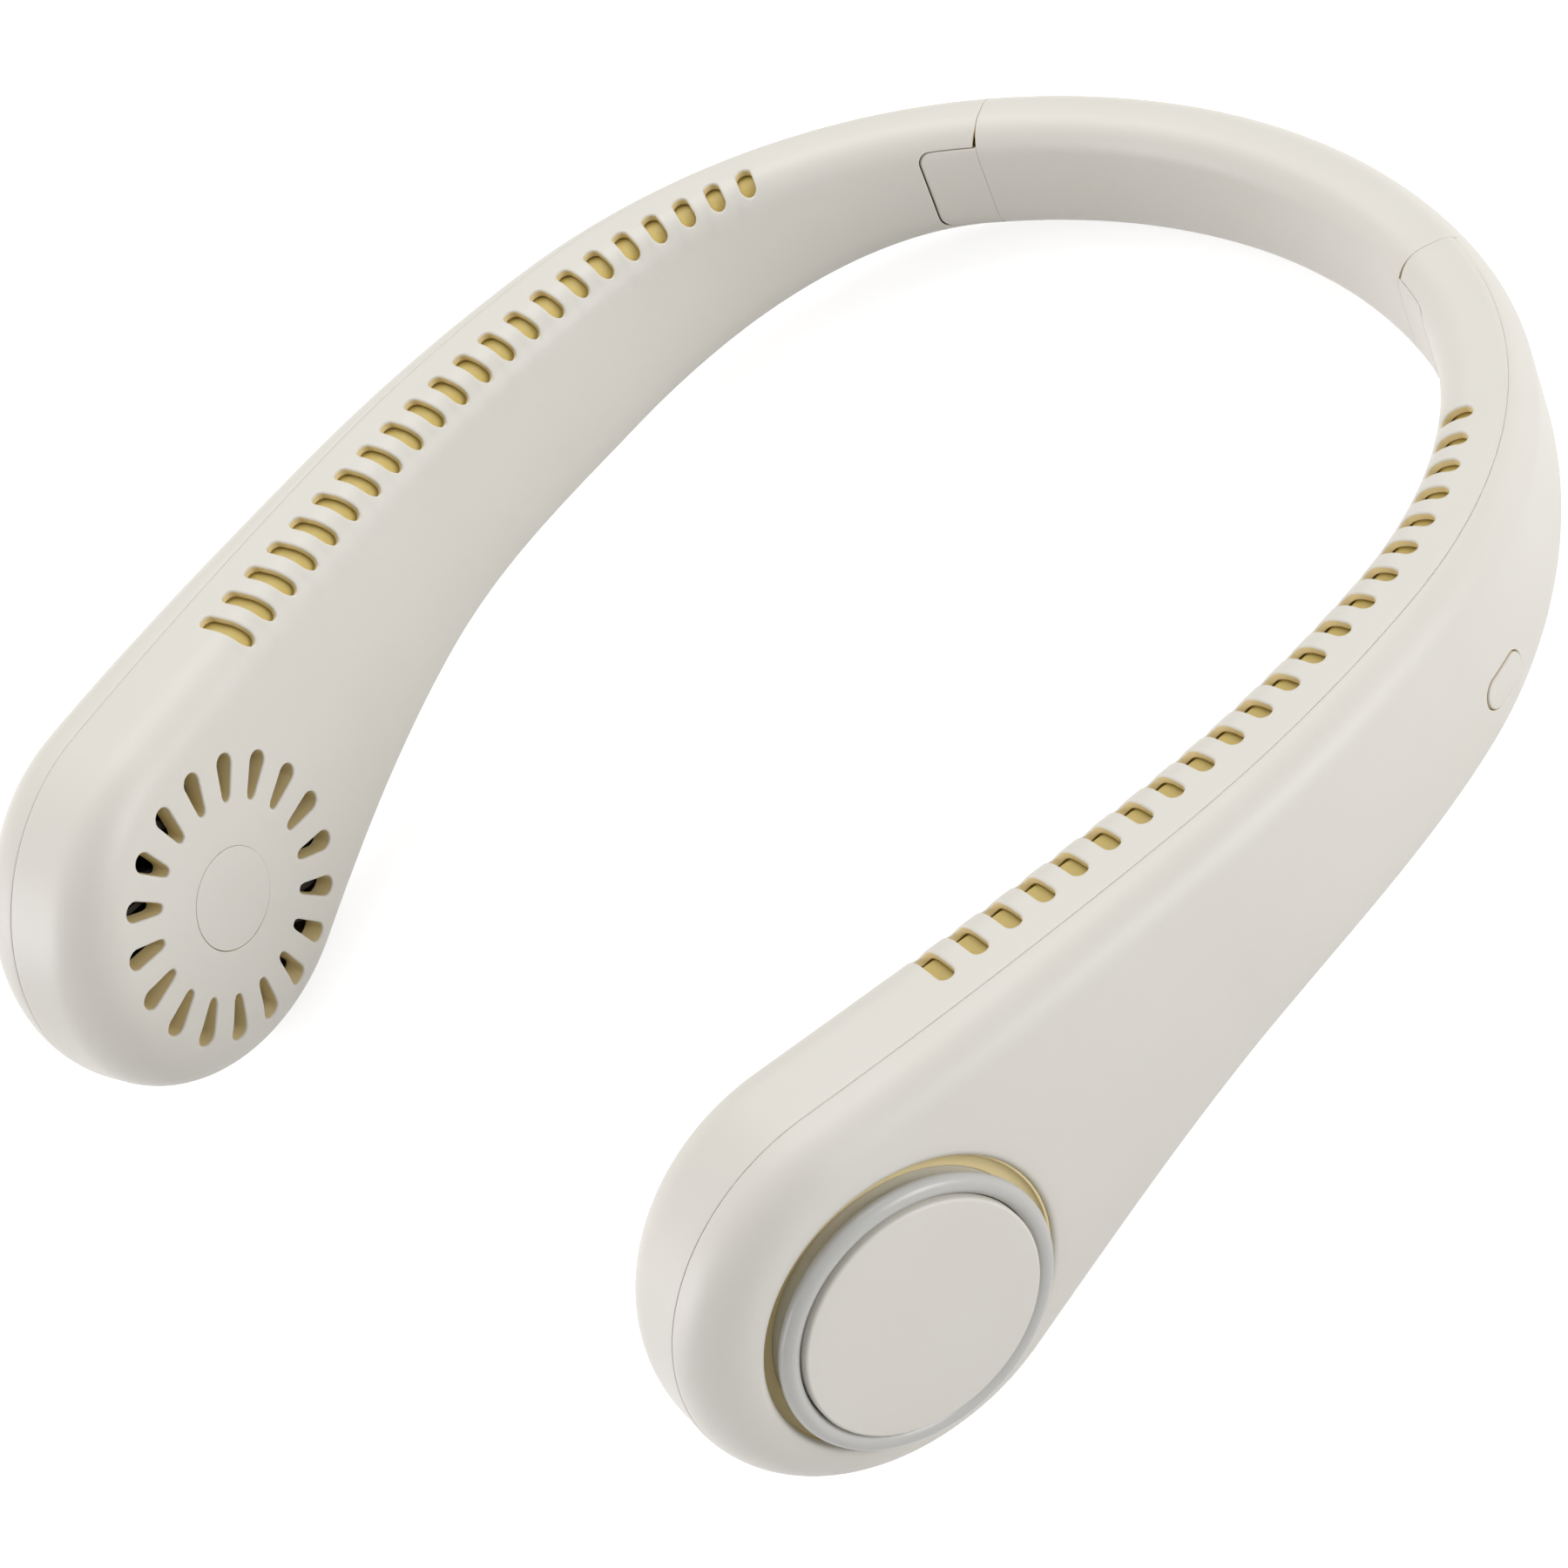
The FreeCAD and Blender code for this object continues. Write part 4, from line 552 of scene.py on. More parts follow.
ring_index = PLAIN_COLUMNS + RING_CELL * CELL_COLUMNS
side_columns, ring_columns = body_columns[:ring_index + 1], body_columns[ring_index:]
first_control, last_control = PLAIN_COLUMNS + CONTROL_CELLS * CELL_COLUMNS
control_columns = body_columns[first_control:last_control + 1]
OUTLINE = ((top_edge, arm_columns), (tip_edge, tip_angles), (low_edge, arm_columns))
EDGES = (top_edge, low_edge)


def between(low, high, rows):
    """Rows of paths between two paths at each column."""
    return low[:, None] + (high - low)[:, None] * np.linspace(0, 1, rows + 1)


def plain_spans(columns, right):
    """The columns as one span, or on the left arm as two, before and after the cell of the controls."""
    if right:
        return [columns]
    return [columns[columns <= control_columns[0] + SNAP], columns[columns >= control_columns[-1] - SNAP]]


def column_sheet(sheets, edge, columns, low, high, rows, side):
    """Walled sheet over columns of one outline edge, between two paths that depend on the column."""
    column = edge(columns)
    path = between(low(column), high(column), rows)
    walled(sheets, *skin([part[:, None] for part in column], path, side))


def seam_edges(sheets, low, high, rows, side, edges=EDGES, place=hinge_columns[0], end=ARM_START):
    """Rounded ends at a seam of the sheets between two paths, on the top and the lower edge."""
    for edge in edges:
        first = edge(np.array([place]))
        path = between(low(first), high(first), rows)[0]
        beside, rim = (skin([part + 0 * path for part in edge(np.array([at]))], path, side)
                       for at in (place, end))
        rounded_edge(sheets, beside, rim, SOFT)


def parting_edge(sheets, parting, near, depth, lip=0.0, outline=OUTLINE):
    """Rounded edge along the parting line, all along an outline, with a lip or a rebate."""
    for edge, columns in outline:
        column = edge(columns)
        beside, rim = (skin(column, path_at_offset(column, offset, 1), 1) for offset in (near, parting))
        rounded_edge(sheets, beside, rim, depth, WALL, lip)


def circle(radius):
    """Circle round the housing's centre, with as many points as the ring of skin has."""
    return arc((0, 0), radius, 90, 450, RING_TOTAL)


def ring_zone(sheets, depth_at, inner_radius, side, inner_wall=WALL):
    """Skin between the arm's columns and a circle round the housing's centre, where its wall may differ.

    Its border has the top columns backward, the side rows down, the lower columns forward and the tip.
    """
    depth = depth_at(ring_columns)
    top = np.stack([ring_columns - AXIS, HOUSING_RADIUS - depth], -1)[::-1]
    low = np.stack([ring_columns - AXIS, HOUSING_RADIUS - arm_height(ring_columns) + depth], -1)
    rows = np.linspace(top[-1], low[0], SIDE_ROWS + 1)
    tip = arc((0, 0), HOUSING_RADIUS - depth[-1], 270, 450, TIP_COLUMNS)
    border = np.concatenate([top[:-1], rows[:-1], low[:-1], tip])
    closing_skin(sheets, lambda along, rise: housing_face(along, rise, side), border, circle(inner_radius),
                 (WALL, inner_wall), RING_STEPS)


def side_zone(sheets, columns, depth_at, side):
    """Flat side between the upper and the lower edge zone."""
    depth = depth_at(columns)
    level = between(-depth, depth - arm_height(columns), SIDE_ROWS)
    walled(sheets, *face(columns[:, None] + 0 * level, level, side))


def control_border(first, far, last, near):
    """Border of the cell of the controls: the first column, the far row, the last column, the near row."""
    start, end = control_columns[[0, -1]]
    return border_of((first, start), (far, control_columns), (last, end), (near[::-1], control_columns[::-1]))


print("columns on an arm:", len(arm_columns), "and round its tip:", len(tip_angles))

# %% [markdown]
# ## Inner shell of an arm
# The neck side carries the row of air slots along its upper edge and the round grille at the end. Boolean
# cuts would leave ragged, hard edges, so each slot gets a cell: loops of points that go from a plain
# rectangle to the slot's rounded outline, and over its edge into the opening.

# %% Air slots
PARTING = 3.4
LIP_DEPTH, LIP = 0.16, 0.40
ZONE_NEAR, ZONE_SPAN = 8.0, 16.0
ZONE_FIRST, ZONE_GROWTH, ZONE_LIMIT = 3.0, 4.6, 0.36
SLOT_LINE = 0.1
SLOT_NEAR, SLOT_RADIUS, SLOT_MARGIN = 0.9, 1.2, 1.1
SLOT_SOFT, SLOT_WALL = 0.36, 1.2


def zone_depth(place):
    """Depth where the edge zone hands over to the side: shallow at the housing, deeper along the arm."""
    t = np.clip((AXIS - place - ZONE_NEAR) / ZONE_SPAN, 0, 1)
    return np.minimum(ZONE_FIRST + ZONE_GROWTH * t**2 * (3 - 2 * t), ZONE_LIMIT * arm_height(place))


def offset_line(offset, side):
    """Line on the skin at an offset: the path at each column."""
    return lambda column: path_at_offset(column, offset, side)


def depth_line(depth_at, side):
    """Line on the skin at a depth that depends on the place: the path at each column."""
    return lambda column: path_at_depth(column, depth_at(column[0]), side)


# The inner shell begins beside the parting line; its slot cells lie between a line on the flat edge and
# one on the side.
inner_start = offset_line(PARTING - SOFT, -1)
slot_line = offset_line(SLOT_LINE, -1)
zone_line = depth_line(zone_depth, -1)


def slot_cell(sheets, middle):
    """One air slot: its outline in plan, carried to place and path on the skin."""
    ends, sides = CELL_COLUMNS, PATH_ROWS
    place = middle + np.linspace(-0.5, 0.5, ends + 1) * SLOT_PITCH
    low, high = slot_line(top_edge(place)), zone_line(top_edge(place))
    start, end = np.linspace(low[[0, -1]], high[[0, -1]], sides + 1).T
    border = border_of((place, low), (place[-1], end), (place[::-1], high[::-1]), (place[0], start[::-1]))
    radius = ARC_RADII[np.searchsorted(ARC_PLACES, middle) - 1]
    far = arm_width(middle) / 2 - SLOT_MARGIN - SLOT_RADIUS

    def outline(grow):
        """Belt in plan, with place = middle + along / (1 - offset / radius), and the path at that offset."""
        plan = belt(SLOT_NEAR + SLOT_RADIUS, SLOT_RADIUS + grow, far, SLOT_RADIUS + grow, ends, sides)
        at = middle + plan[:, 0] / (1 - plan[:, 1] / radius)
        return np.stack([at, path_at_offset(top_edge(at), -plan[:, 1], -1)], -1)

    cell(sheets, lambda at, path: skin(top_edge(at), path, -1), border, outline, SLOT_SOFT, (WALL, SLOT_WALL))


print("air slots: %d, from %.1f to %.1f mm along the line" % (SLOT_COUNT, slot_start, slot_end))

# %% Air guide
GUIDE_DEPTH, GUIDE_WALL, GUIDE_MARGIN = 1.5, 0.8, 0.3


def air_guide(sheets):
    """Thin plate in the air channel: the skin under the slots, moved inward along its facing."""
    column = top_edge(np.linspace(slot_start, slot_end, SLOT_COUNT * 2 + 1))
    far = path_at_offset(column, GUIDE_MARGIN - arm_width(column[0]) / 2, -1)
    points, facing = skin([part[:, None] for part in column], between(slot_line(column), far, PATH_ROWS), -1)
    upper, lower = points - GUIDE_DEPTH * facing, points - (GUIDE_DEPTH + GUIDE_WALL) * facing
    # The plate takes the darker olive finish: painted shade and warm through-light on the slots' floor.
    sheets.append((upper, facing, CHANNEL))
    sheets.append((lower, -facing, CHANNEL))
    for high, low in ((upper, lower), (upper.swapaxes(0, 1), lower.swapaxes(0, 1))):
        for end, next_row in ((0, 1), (-1, -2)):
            away = high[end] - high[next_row]
            sheets.append((np.stack([high[end], low[end]]), np.stack([away, away]), CHANNEL))


print("air guide: %.1f mm under the skin" % GUIDE_DEPTH)

# %% Round grille
GRILLE_COUNT, GRILLE_ROWS = 18, 10
GRILLE_LOW, GRILLE_LOW_RADIUS = 15.0, 0.8
GRILLE_HIGH, GRILLE_HIGH_RADIUS = 19.8, 1.5
GRILLE_SOFT, GRILLE_WALL = 0.35, 3.2
GRILLE_IN, GRILLE_OUT = 13.0, 23.6
BADGE_HOLE, BADGE_RADIUS, BADGE_THICK = 7.6, 7.5, 0.6
BADGE_SOFT, BADGE_STEPS = 0.12, 3


def grille_cell(sheets, degrees):
    """One radial slot of the grille in its sector of the housing's face."""
    ends, sides = RING_TOTAL // GRILLE_COUNT, GRILLE_ROWS
    half = 180 / GRILLE_COUNT
    inner = arc((0, 0), GRILLE_IN, degrees + half, degrees - half, ends)
    outer = arc((0, 0), GRILLE_OUT, degrees - half, degrees + half, ends)
    border = np.concatenate([inner[:-1], chain([inner[-1], outer[0]], [sides]),
                             outer[:-1], chain([outer[-1], inner[0]], [sides])])
    turn = np.radians(degrees)
    across, radial = np.array([np.sin(turn), -np.cos(turn)]), np.array([np.cos(turn), np.sin(turn)])

    def outline(grow):
        """Belt turned into its sector: first coordinate * across + second coordinate * radial."""
        plan = belt(GRILLE_LOW, GRILLE_LOW_RADIUS + grow, GRILLE_HIGH, GRILLE_HIGH_RADIUS + grow, ends, sides)
        return plan[:, :1] * across + plan[:, 1:] * radial

    cell(sheets, housing_face, border, outline, GRILLE_SOFT, (GRILLE_WALL, GRILLE_WALL))


def badge_seat(sheets):
    """Plain skin between the grille and the badge, down to the recess of the badge."""
    cell(sheets, housing_face, circle(GRILLE_IN)[:-1], lambda grow: circle(BADGE_HOLE + grow)[:-1],
         BADGE_SOFT, (GRILLE_WALL, GRILLE_WALL), BADGE_STEPS)


print("grille slots:", GRILLE_COUNT)

# %% [markdown]
# ## The hinge
# The neckband ends in a tongue that lies flush in the arm's neck side, and the arm turns about a hidden
# pin in it. The arm's skin leaves a room for the tongue, open towards the seam, and its end is drawn back
# on the neck side so that it can fold inward without touching the neckband.

# %% Skin round the hinge
NOTCH_END, NOTCH_TOP, NOTCH_LOW, NOTCH_ROUND = SEAM + 8.0, -2.75, -17.0, 2.0
NOTCH_WALL, NOTCH_ARC_STEPS, NOTCH_STEPS = 0.16, 24, 8
PIN_REACH, PIN_OFFSET = 7.14, -2.68
FOLD = np.radians(15.0)
FOLD_ROOM = 0.16
HINGE_ROWS = (PATH_ROWS, SIDE_ROWS, PATH_ROWS)


def hinge_skin(place, share):
    """Neck side near the hinge: share 0 to 1 is the upper zone, 1 to 2 the side, 2 to 3 the lower zone.

    The end is drawn back so far that, folded about the pin, it just clears the neckband's end: by
    (room - reach - y sin(fold)) / cos(fold) + reach - gap, with y the offset from the pin and reach the
    distance to it. This fades out along the hinge.
    """
    def plain(at):
        """Skin that isn't drawn back: by a path from the top edge up to share 2, then from the lower edge."""
        top, bottom = top_edge(at), low_edge(at)
        line, high = slot_line(top), zone_line(top)
        middle = high + np.clip(share - 1, 0, 1) * (arm_height(at) - 2 * zone_depth(at))
        upper = skin(top, np.where(share < 1, line + share * (high - line), middle), -1)
        line = slot_line(bottom)
        lower = skin(bottom, line + (3 - share) * (zone_line(bottom) - line), -1)
        below = (share > 2)[..., None]
        return np.where(below, lower[0], upper[0]), np.where(below, lower[1], upper[1])

    origin, _, outward = spine(place)
    across = ((plain(place)[0] - origin) * outward).sum(-1) - PIN_OFFSET
    back = (FOLD_ROOM - PIN_REACH - across * np.sin(FOLD)) / np.cos(FOLD) + PIN_REACH - SEAM_GAP
    fade = np.clip((HINGE_END - place) / (HINGE_END - ARM_START), 0, 1)
    return plain(place + np.maximum(back, 0) * fade)


def share_at_level(place, level):
    """Share of hinge_skin at a level."""
    height, depth = arm_height(place), zone_depth(place)

    def part(column, below):
        """Share of an edge zone: (path at the depth - slot line) / (zone line - slot line)."""
        line = slot_line(column)
        return (path_at_depth(column, np.maximum(below, 0), -1) - line) / (zone_line(column) - line)

    upper, lower = part(top_edge(place), -level), 3 - part(low_edge(place), level + height)
    middle = 1 - (level + depth) / (height - 2 * depth)
    return np.where(-level < depth, upper, np.where(level + height < depth, lower, middle))


def notch_line(grow):
    """Outline of the tongue's room: along the top, round the end, back along the bottom."""
    place, level = tongue_shape(hinge_columns[0], NOTCH_END + grow, NOTCH_TOP + grow, NOTCH_LOW - grow,
                                NOTCH_ROUND + grow, HINGE_COLUMNS, NOTCH_ARC_STEPS, sum(HINGE_ROWS)).T
    return np.stack([place, share_at_level(place, level)], -1)


def hinge_zone(sheets):
    """Neck side round the tongue's room, open towards the seam; its wall thins out to a lip there."""
    rows = chain(range(4), HINGE_ROWS)
    upper = np.stack([hinge_columns, 0 * hinge_columns], -1)
    tail = np.stack([0 * rows + HINGE_END, rows], -1)
    border = np.concatenate([upper[:-1], tail, upper[::-1] + [0, 3]])
    near, corner = notch_line(SOFT), notch_line(0.0)
    loops, wall = closing_skin(sheets, hinge_skin, border, near, (WALL, NOTCH_WALL), NOTCH_STEPS)
    rim_edge(sheets, hinge_skin, near, corner, SOFT, NOTCH_WALL)
    for end in (loops[:, 0], loops[:, -1]):
        rim_edge(sheets, hinge_skin, end, end - [SOFT, 0], SOFT, wall[:, 0])


print("points round the tongue's room:", len(notch_line(0.0)))

# %% Inner shells
CONTROL_PLACE = SEAM + 64.4
SOCKET_OFFSET, SOCKET_REACH, SOCKET_RADIUS, SOCKET_SOFT = -1.24, 4.62, 1.78, 0.3


def socket_cell(sheets):
    """Mouth of the charging socket in the lower edge, with round ends."""
    ends, sides = FLAT_ROWS + PATH_ROWS, len(control_columns) - 1
    low, line, high = (path(low_edge(control_columns)) for path in (inner_start, slot_line, zone_line))
    first, last = (np.append(chain([low[k], line[k], high[k]], (FLAT_ROWS, PATH_ROWS)), high[k])
                   for k in (0, -1))
    border = control_border(first, high, last[::-1], low)

    def outline(grow):
        """Belt with equal ends, moved to the socket's offset and place."""
        reach = SOCKET_REACH - SOCKET_RADIUS
        plan = belt(-reach, SOCKET_RADIUS + grow, reach, SOCKET_RADIUS + grow, ends, sides)
        return plan + [-SOCKET_OFFSET, CONTROL_PLACE]

    cell(sheets, lambda path, at: skin(low_edge(at), path, -1), border, outline, SOCKET_SOFT)


def inner_shell(sheets, right):
    """All sheets of an arm's inner shell; the left one has the socket's mouth."""
    for edge, columns in OUTLINE[:2]:
        column_sheet(sheets, edge, columns, inner_start, slot_line, FLAT_ROWS, -1)
    for edge, columns in ((tip_edge, tip_angles), (top_edge, plain_columns), (top_edge, end_columns)):
        column_sheet(sheets, edge, columns, slot_line, zone_line, PATH_ROWS, -1)
    for columns in plain_spans(arm_columns, right):
        column_sheet(sheets, low_edge, columns, inner_start, slot_line, FLAT_ROWS, -1)
        beyond = columns[columns >= HINGE_END - SNAP]
        column_sheet(sheets, low_edge, beyond, slot_line, zone_line, PATH_ROWS, -1)
    if not right:
        socket_cell(sheets)
    for k in range(SLOT_COUNT):
        slot_cell(sheets, SEAM + SLOT_FIRST + SLOT_PITCH * k)
    air_guide(sheets)
    for k in range(GRILLE_COUNT):
        grille_cell(sheets, 90 - 180 / GRILLE_COUNT - 360 / GRILLE_COUNT * k)
    side_zone(sheets, side_columns, zone_depth, -1)
    ring_zone(sheets, zone_depth, GRILLE_OUT, -1, GRILLE_WALL)
    badge_seat(sheets)
    hinge_zone(sheets)
    parting_edge(sheets, PARTING, PARTING - SOFT, LIP_DEPTH, LIP)
    seam_edges(sheets, inner_start, slot_line, FLAT_ROWS, -1)


both_sides(inner_shell, "{}_arm_inner_skin", "{}_arm", "ivory_shell", "{}_inner_shell")

# %% [markdown]
# ## Outer cover of an arm
# The outer side has a plain cover, pressed into the inner shell along the parting line. It holds the
# intake hole and, on the left arm, the hole of the power button.

# %% Outer covers
COVER_PARTING, COVER_SOFT = PARTING + 0.05, 0.50
COVER_DEPTH, COVER_ROWS = 6.4, 18
REBATE_DEPTH, REBATE = 0.13, -0.45
INTAKE_HOLE, INTAKE_SOFT = 20.3, 1.0
BELL_EYE, BELL_LOW, BELL_TOP, BELL_WALL = 18.36, 20.75, 21.6, 0.3
BELL_STEPS, TURN_STEPS = 12, 180
BUTTON_DEPTH, BUTTON_REACH, BUTTON_RADIUS, BUTTON_GAP, BUTTON_SOFT = 18.9, 4.4, 2.2, 0.2, 0.2


def cover_depth(place):
    """Depth where the cover's edge zone hands over to the side: just past the upper rounding."""
    return COVER_DEPTH + 0 * place


cover_start = offset_line(COVER_PARTING + COVER_SOFT, 1)
cover_line = depth_line(cover_depth, 1)


def turned(sheets, profile, start=0.0, end=360.0, steps=TURN_STEPS, finish_number=OUTSIDE, shift=(0.0, 0.0)):
    """Profile of radius and level, going anticlockwise, carried round the turbine's axis.

    The level counts from the neck side of the housing. A shift moves the axis along and up.
    """
    radius, level = profile.T[:, :, None, None]
    over, out = np.gradient(profile[:, 0]), np.gradient(profile[:, 1])
    angle = np.radians(np.linspace(start, end, steps + 1))[:, None]
    centre, forward, outward = spine(np.array(AXIS))
    radial = forward * np.cos(angle) + UP * np.sin(angle)
    centre = centre + shift[0] * forward + (shift[1] - HOUSING_RADIUS) * UP
    points = centre + radius * radial + (level - HOUSING_WIDTH / 2) * outward
    sheets.append((points, out[:, None, None] * radial - over[:, None, None] * outward, finish_number))


def bell_mouth():
    """Profile of the inlet lip behind the intake hole: a quarter of an ellipse, above the ring's feet."""
    span, rise = INTAKE_HOLE - BELL_EYE, BELL_TOP - BELL_LOW
    quarter = arc((0, 0), 1.0, 0, 90, BELL_STEPS)
    upper = np.array([BELL_EYE, BELL_TOP]) + quarter * [span, -rise]
    lower = np.array([BELL_EYE, BELL_TOP]) + quarter[::-1] * [span + BELL_WALL, -rise - BELL_WALL]
    return np.concatenate([upper, lower, upper[:1]])[::-1]


def button_outline(grow, ends, sides):
    """Round-ended outline of the power button, by level and place."""
    reach = BUTTON_REACH - BUTTON_RADIUS
    plan = belt(-reach, BUTTON_RADIUS + grow, reach, BUTTON_RADIUS + grow, ends, sides)
    stretch = 1 + arm_width(np.array(CONTROL_PLACE)) / 2 / SHOULDER_RADIUS
    return np.stack([plan[:, 0] - BUTTON_DEPTH, CONTROL_PLACE + plan[:, 1] / stretch], -1)


def button_cell(sheets):
    """Outer side round the power button's hole."""
    ends, sides = SIDE_ROWS, len(control_columns) - 1
    top = -cover_depth(control_columns)
    low = cover_depth(control_columns) - arm_height(control_columns)
    first, last = np.linspace(low[0], top[0], ends + 1), np.linspace(top[-1], low[-1], ends + 1)
    cell(sheets, lambda level, place: face(place, level, 1), control_border(first, top, last, low),
         lambda grow: button_outline(BUTTON_GAP + grow, ends, sides), BUTTON_SOFT)


def outer_cover(sheets, right):
    """All sheets of an arm's outer cover; the left one has the button's hole."""
    for edge, columns in OUTLINE:
        column_sheet(sheets, edge, columns, cover_start, cover_line, COVER_ROWS, 1)
    if not right:
        button_cell(sheets)
    for columns in plain_spans(arm_columns[arm_columns <= side_columns[-1] + SNAP], right):
        side_zone(sheets, columns, cover_depth, 1)
    near = INTAKE_HOLE + INTAKE_SOFT
    ring_zone(sheets, cover_depth, near, 1)
    rim_edge(sheets, lambda *at: housing_face(*at, 1), circle(near), circle(INTAKE_HOLE), INTAKE_SOFT)
    parting_edge(sheets, COVER_PARTING, COVER_PARTING + COVER_SOFT, REBATE_DEPTH, REBATE)
    # The inlet lip takes the inside tone: painted warm through-light in the shaded groove round the ring.
    turned(sheets, bell_mouth(), finish_number=INSIDE)
    seam_edges(sheets, cover_start, cover_line, COVER_ROWS, 1)
    depth, height = cover_depth(hinge_columns[:1]), arm_height(hinge_columns[:1])
    level = between(-depth, depth - height, SIDE_ROWS)[0]
    beside, rim = (face(0 * level + place, level, 1) for place in (hinge_columns[0], ARM_START))
    rounded_edge(sheets, beside, rim, SOFT)


both_sides(outer_cover, "{}_arm_outer_cover", "{}_arm", "ivory_shell", "{}_outer_cover")

# %% [markdown]
# ## Neckband and hinge tongues
# The neckband is a short tube with the arms' section, in two shells that meet behind. The tongues belong
# to it: flush plates with two round corners that reach into the arms.

# %% Neckband
BAND_PARTING, BAND_GAP, BAND_SOFT = 5.4, 0.06, 0.08
BAND_ROWS, BAND_COLUMNS = 26, 120
band_columns = np.linspace(SOFT - BAND_END, BAND_END - SOFT, BAND_COLUMNS + 1)


def band_shell(name, side, parting, near, stands_for):
    """Shell of the neckband: its half of the section, carried along the band, with rounded ends."""
    sheets = []
    start, middle = offset_line(near, side), depth_line(lambda place: BAND_HEIGHT / 2 + 0 * place, side)
    for edge in EDGES:
        column_sheet(sheets, edge, band_columns, start, middle, BAND_ROWS, side)
        parting_edge(sheets, parting, near, BAND_SOFT, outline=[(edge, band_columns)])
        for end in (-BAND_END, BAND_END):
            beside = end - np.sign(end) * SOFT
            seam_edges(sheets, start, middle, BAND_ROWS, side, [edge], beside, end)
    make_piece(name, sheets, "neckband", "ivory_shell", stands_for)


OUTER_PARTING = BAND_PARTING + BAND_GAP
band_shell("neckband_inner_skin", -1, BAND_PARTING, BAND_PARTING - BAND_SOFT, "neckband_inner_shell")
band_shell("neckband_outer_skin", 1, OUTER_PARTING, OUTER_PARTING + BAND_SOFT, "neckband_outer_shell")

# %% Hinge tongues
TONGUE_START, TONGUE_END = BAND_END + 0.03, SEAM + 7.84
TONGUE_GAP, TONGUE_ROUND = 0.12, 2.0
TONGUE_SOFT, TONGUE_WALL = 0.2, 0.7
TONGUE_SEAM_STEPS, TONGUE_STEPS, TONGUE_END_STEPS, TONGUE_ARC_STEPS = 24, 12, 48, 16
KNUCKLE_END, KNUCKLE_GAP, KNUCKLE_DEPTH, KNUCKLE_WALL = SEAM + 8.2, 0.03, 0.32, 4.4


def tongue_outline(grow, end, gap):
    """Tongue by place and level: square corners at the seam, round ones at its end."""
    start, top, low = TONGUE_START - grow, NOTCH_TOP - gap + grow, NOTCH_LOW + gap - grow
    shape = tongue_shape(start, end + grow, top, low, TONGUE_ROUND + grow, TONGUE_STEPS, TONGUE_ARC_STEPS,
                         TONGUE_END_STEPS)
    return np.concatenate([chain([(start, low), (start, top)], [TONGUE_SEAM_STEPS]), shape[:-1]])


def tongue(sheets, _):
    """Flush plate on the neck side of the hinge, and the knuckle behind it that fills the arm's room."""
    def sunk(place, level):
        """Neck side, moved inward by the depth of the knuckle."""
        points, facing = face(place, level, -1)
        return points - KNUCKLE_DEPTH * facing, facing

    plate(sheets, lambda place, level: face(place, level, -1),
          lambda grow: tongue_outline(grow, TONGUE_END, TONGUE_GAP), TONGUE_SOFT, TONGUE_WALL)
    plate(sheets, sunk, lambda grow: tongue_outline(grow, KNUCKLE_END, KNUCKLE_GAP),
          TONGUE_SOFT, KNUCKLE_WALL)


both_sides(tongue, "{}_tongue_plate", "neckband", "ivory_shell", "{}_hinge_tongue")

# %% [markdown]
# ## Round pieces on the turbine's axis
# Intake ring, cap, badge and screws are turned shapes: a profile of radius and level, carried round an
# axis. The counts in the profiles are steps or points from corner to corner.

# %% Ring, cap, badge and screws
RING_RADIUS, RING_BORE, RING_TOP, RING_FOOT = 19.2, 16.65, HOUSING_WIDTH + 2.4, 18.8
STEM_RADIUS = 18.3
CAP_RADIUS, CAP_TOP, CAP_THICK, CAP_SOFT = 16.55, HOUSING_WIDTH + 2.8, 1.6, 0.45
FOOT_ANGLES = (0, 120, 240)
FOOT_ROOT, FOOT_REACH, FOOT_HALF, FOOT_THICK, FOOT_STEPS = STEM_RADIUS - 0.4, 23.0, 7.6, 1.6, 8
SCREW_CIRCLE, SCREW_RADIUS, SCREW_HEAD_RADIUS, SCREW_HEAD, SCREW_TIP = 21.9, 0.8, 1.3, 0.8, 21.4
SCREW_STEPS = 24


def intake_ring(sheets, _):
    """Round tube on a stem, on three feet under the cover."""
    crown = (RING_RADIUS - RING_BORE) / 2
    middle = (RING_RADIUS + RING_BORE) / 2
    under = np.degrees(np.arccos((STEM_RADIUS - middle) / crown))
    tube = arc((middle, RING_TOP - crown), crown, -under, 180, 30)
    turned(sheets, np.concatenate([
        chain([(RING_BORE, RING_FOOT), (STEM_RADIUS, RING_FOOT), tube[0]], (3, 5)), tube,
        np.linspace((RING_BORE, RING_TOP - crown), (RING_BORE, RING_FOOT), 6)[1:]]))
    top = RING_FOOT + FOOT_THICK
    foot = np.array([(FOOT_ROOT, RING_FOOT), (FOOT_REACH, RING_FOOT), (FOOT_REACH, top), (FOOT_ROOT, top),
                     (FOOT_ROOT, RING_FOOT)])
    ends = np.array([[0, 1], [3, 2]])
    for angle in FOOT_ANGLES:
        # The feet take the inside tone: painted warm through-light under the cover.
        turned(sheets, foot, angle - FOOT_HALF, angle + FOOT_HALF, FOOT_STEPS, INSIDE)
        grid = sheets[-1][0]
        for last, beside in ((0, 1), (-1, -2)):
            sheets.append((grid[ends, last], grid[ends, last] - grid[ends, beside], INSIDE))


def intake_cap(sheets, _):
    """Flat cap with a rounded edge."""
    low, edge, rim = CAP_TOP - CAP_THICK, CAP_TOP - CAP_SOFT, CAP_RADIUS - CAP_SOFT
    turned(sheets, np.concatenate([
        chain([(0, low), (CAP_RADIUS, low), (CAP_RADIUS, edge)], (5, 3)),
        arc((rim, edge), CAP_SOFT, 0, 90, 8), np.linspace((rim, CAP_TOP), (0, CAP_TOP), 8)[1:]]))


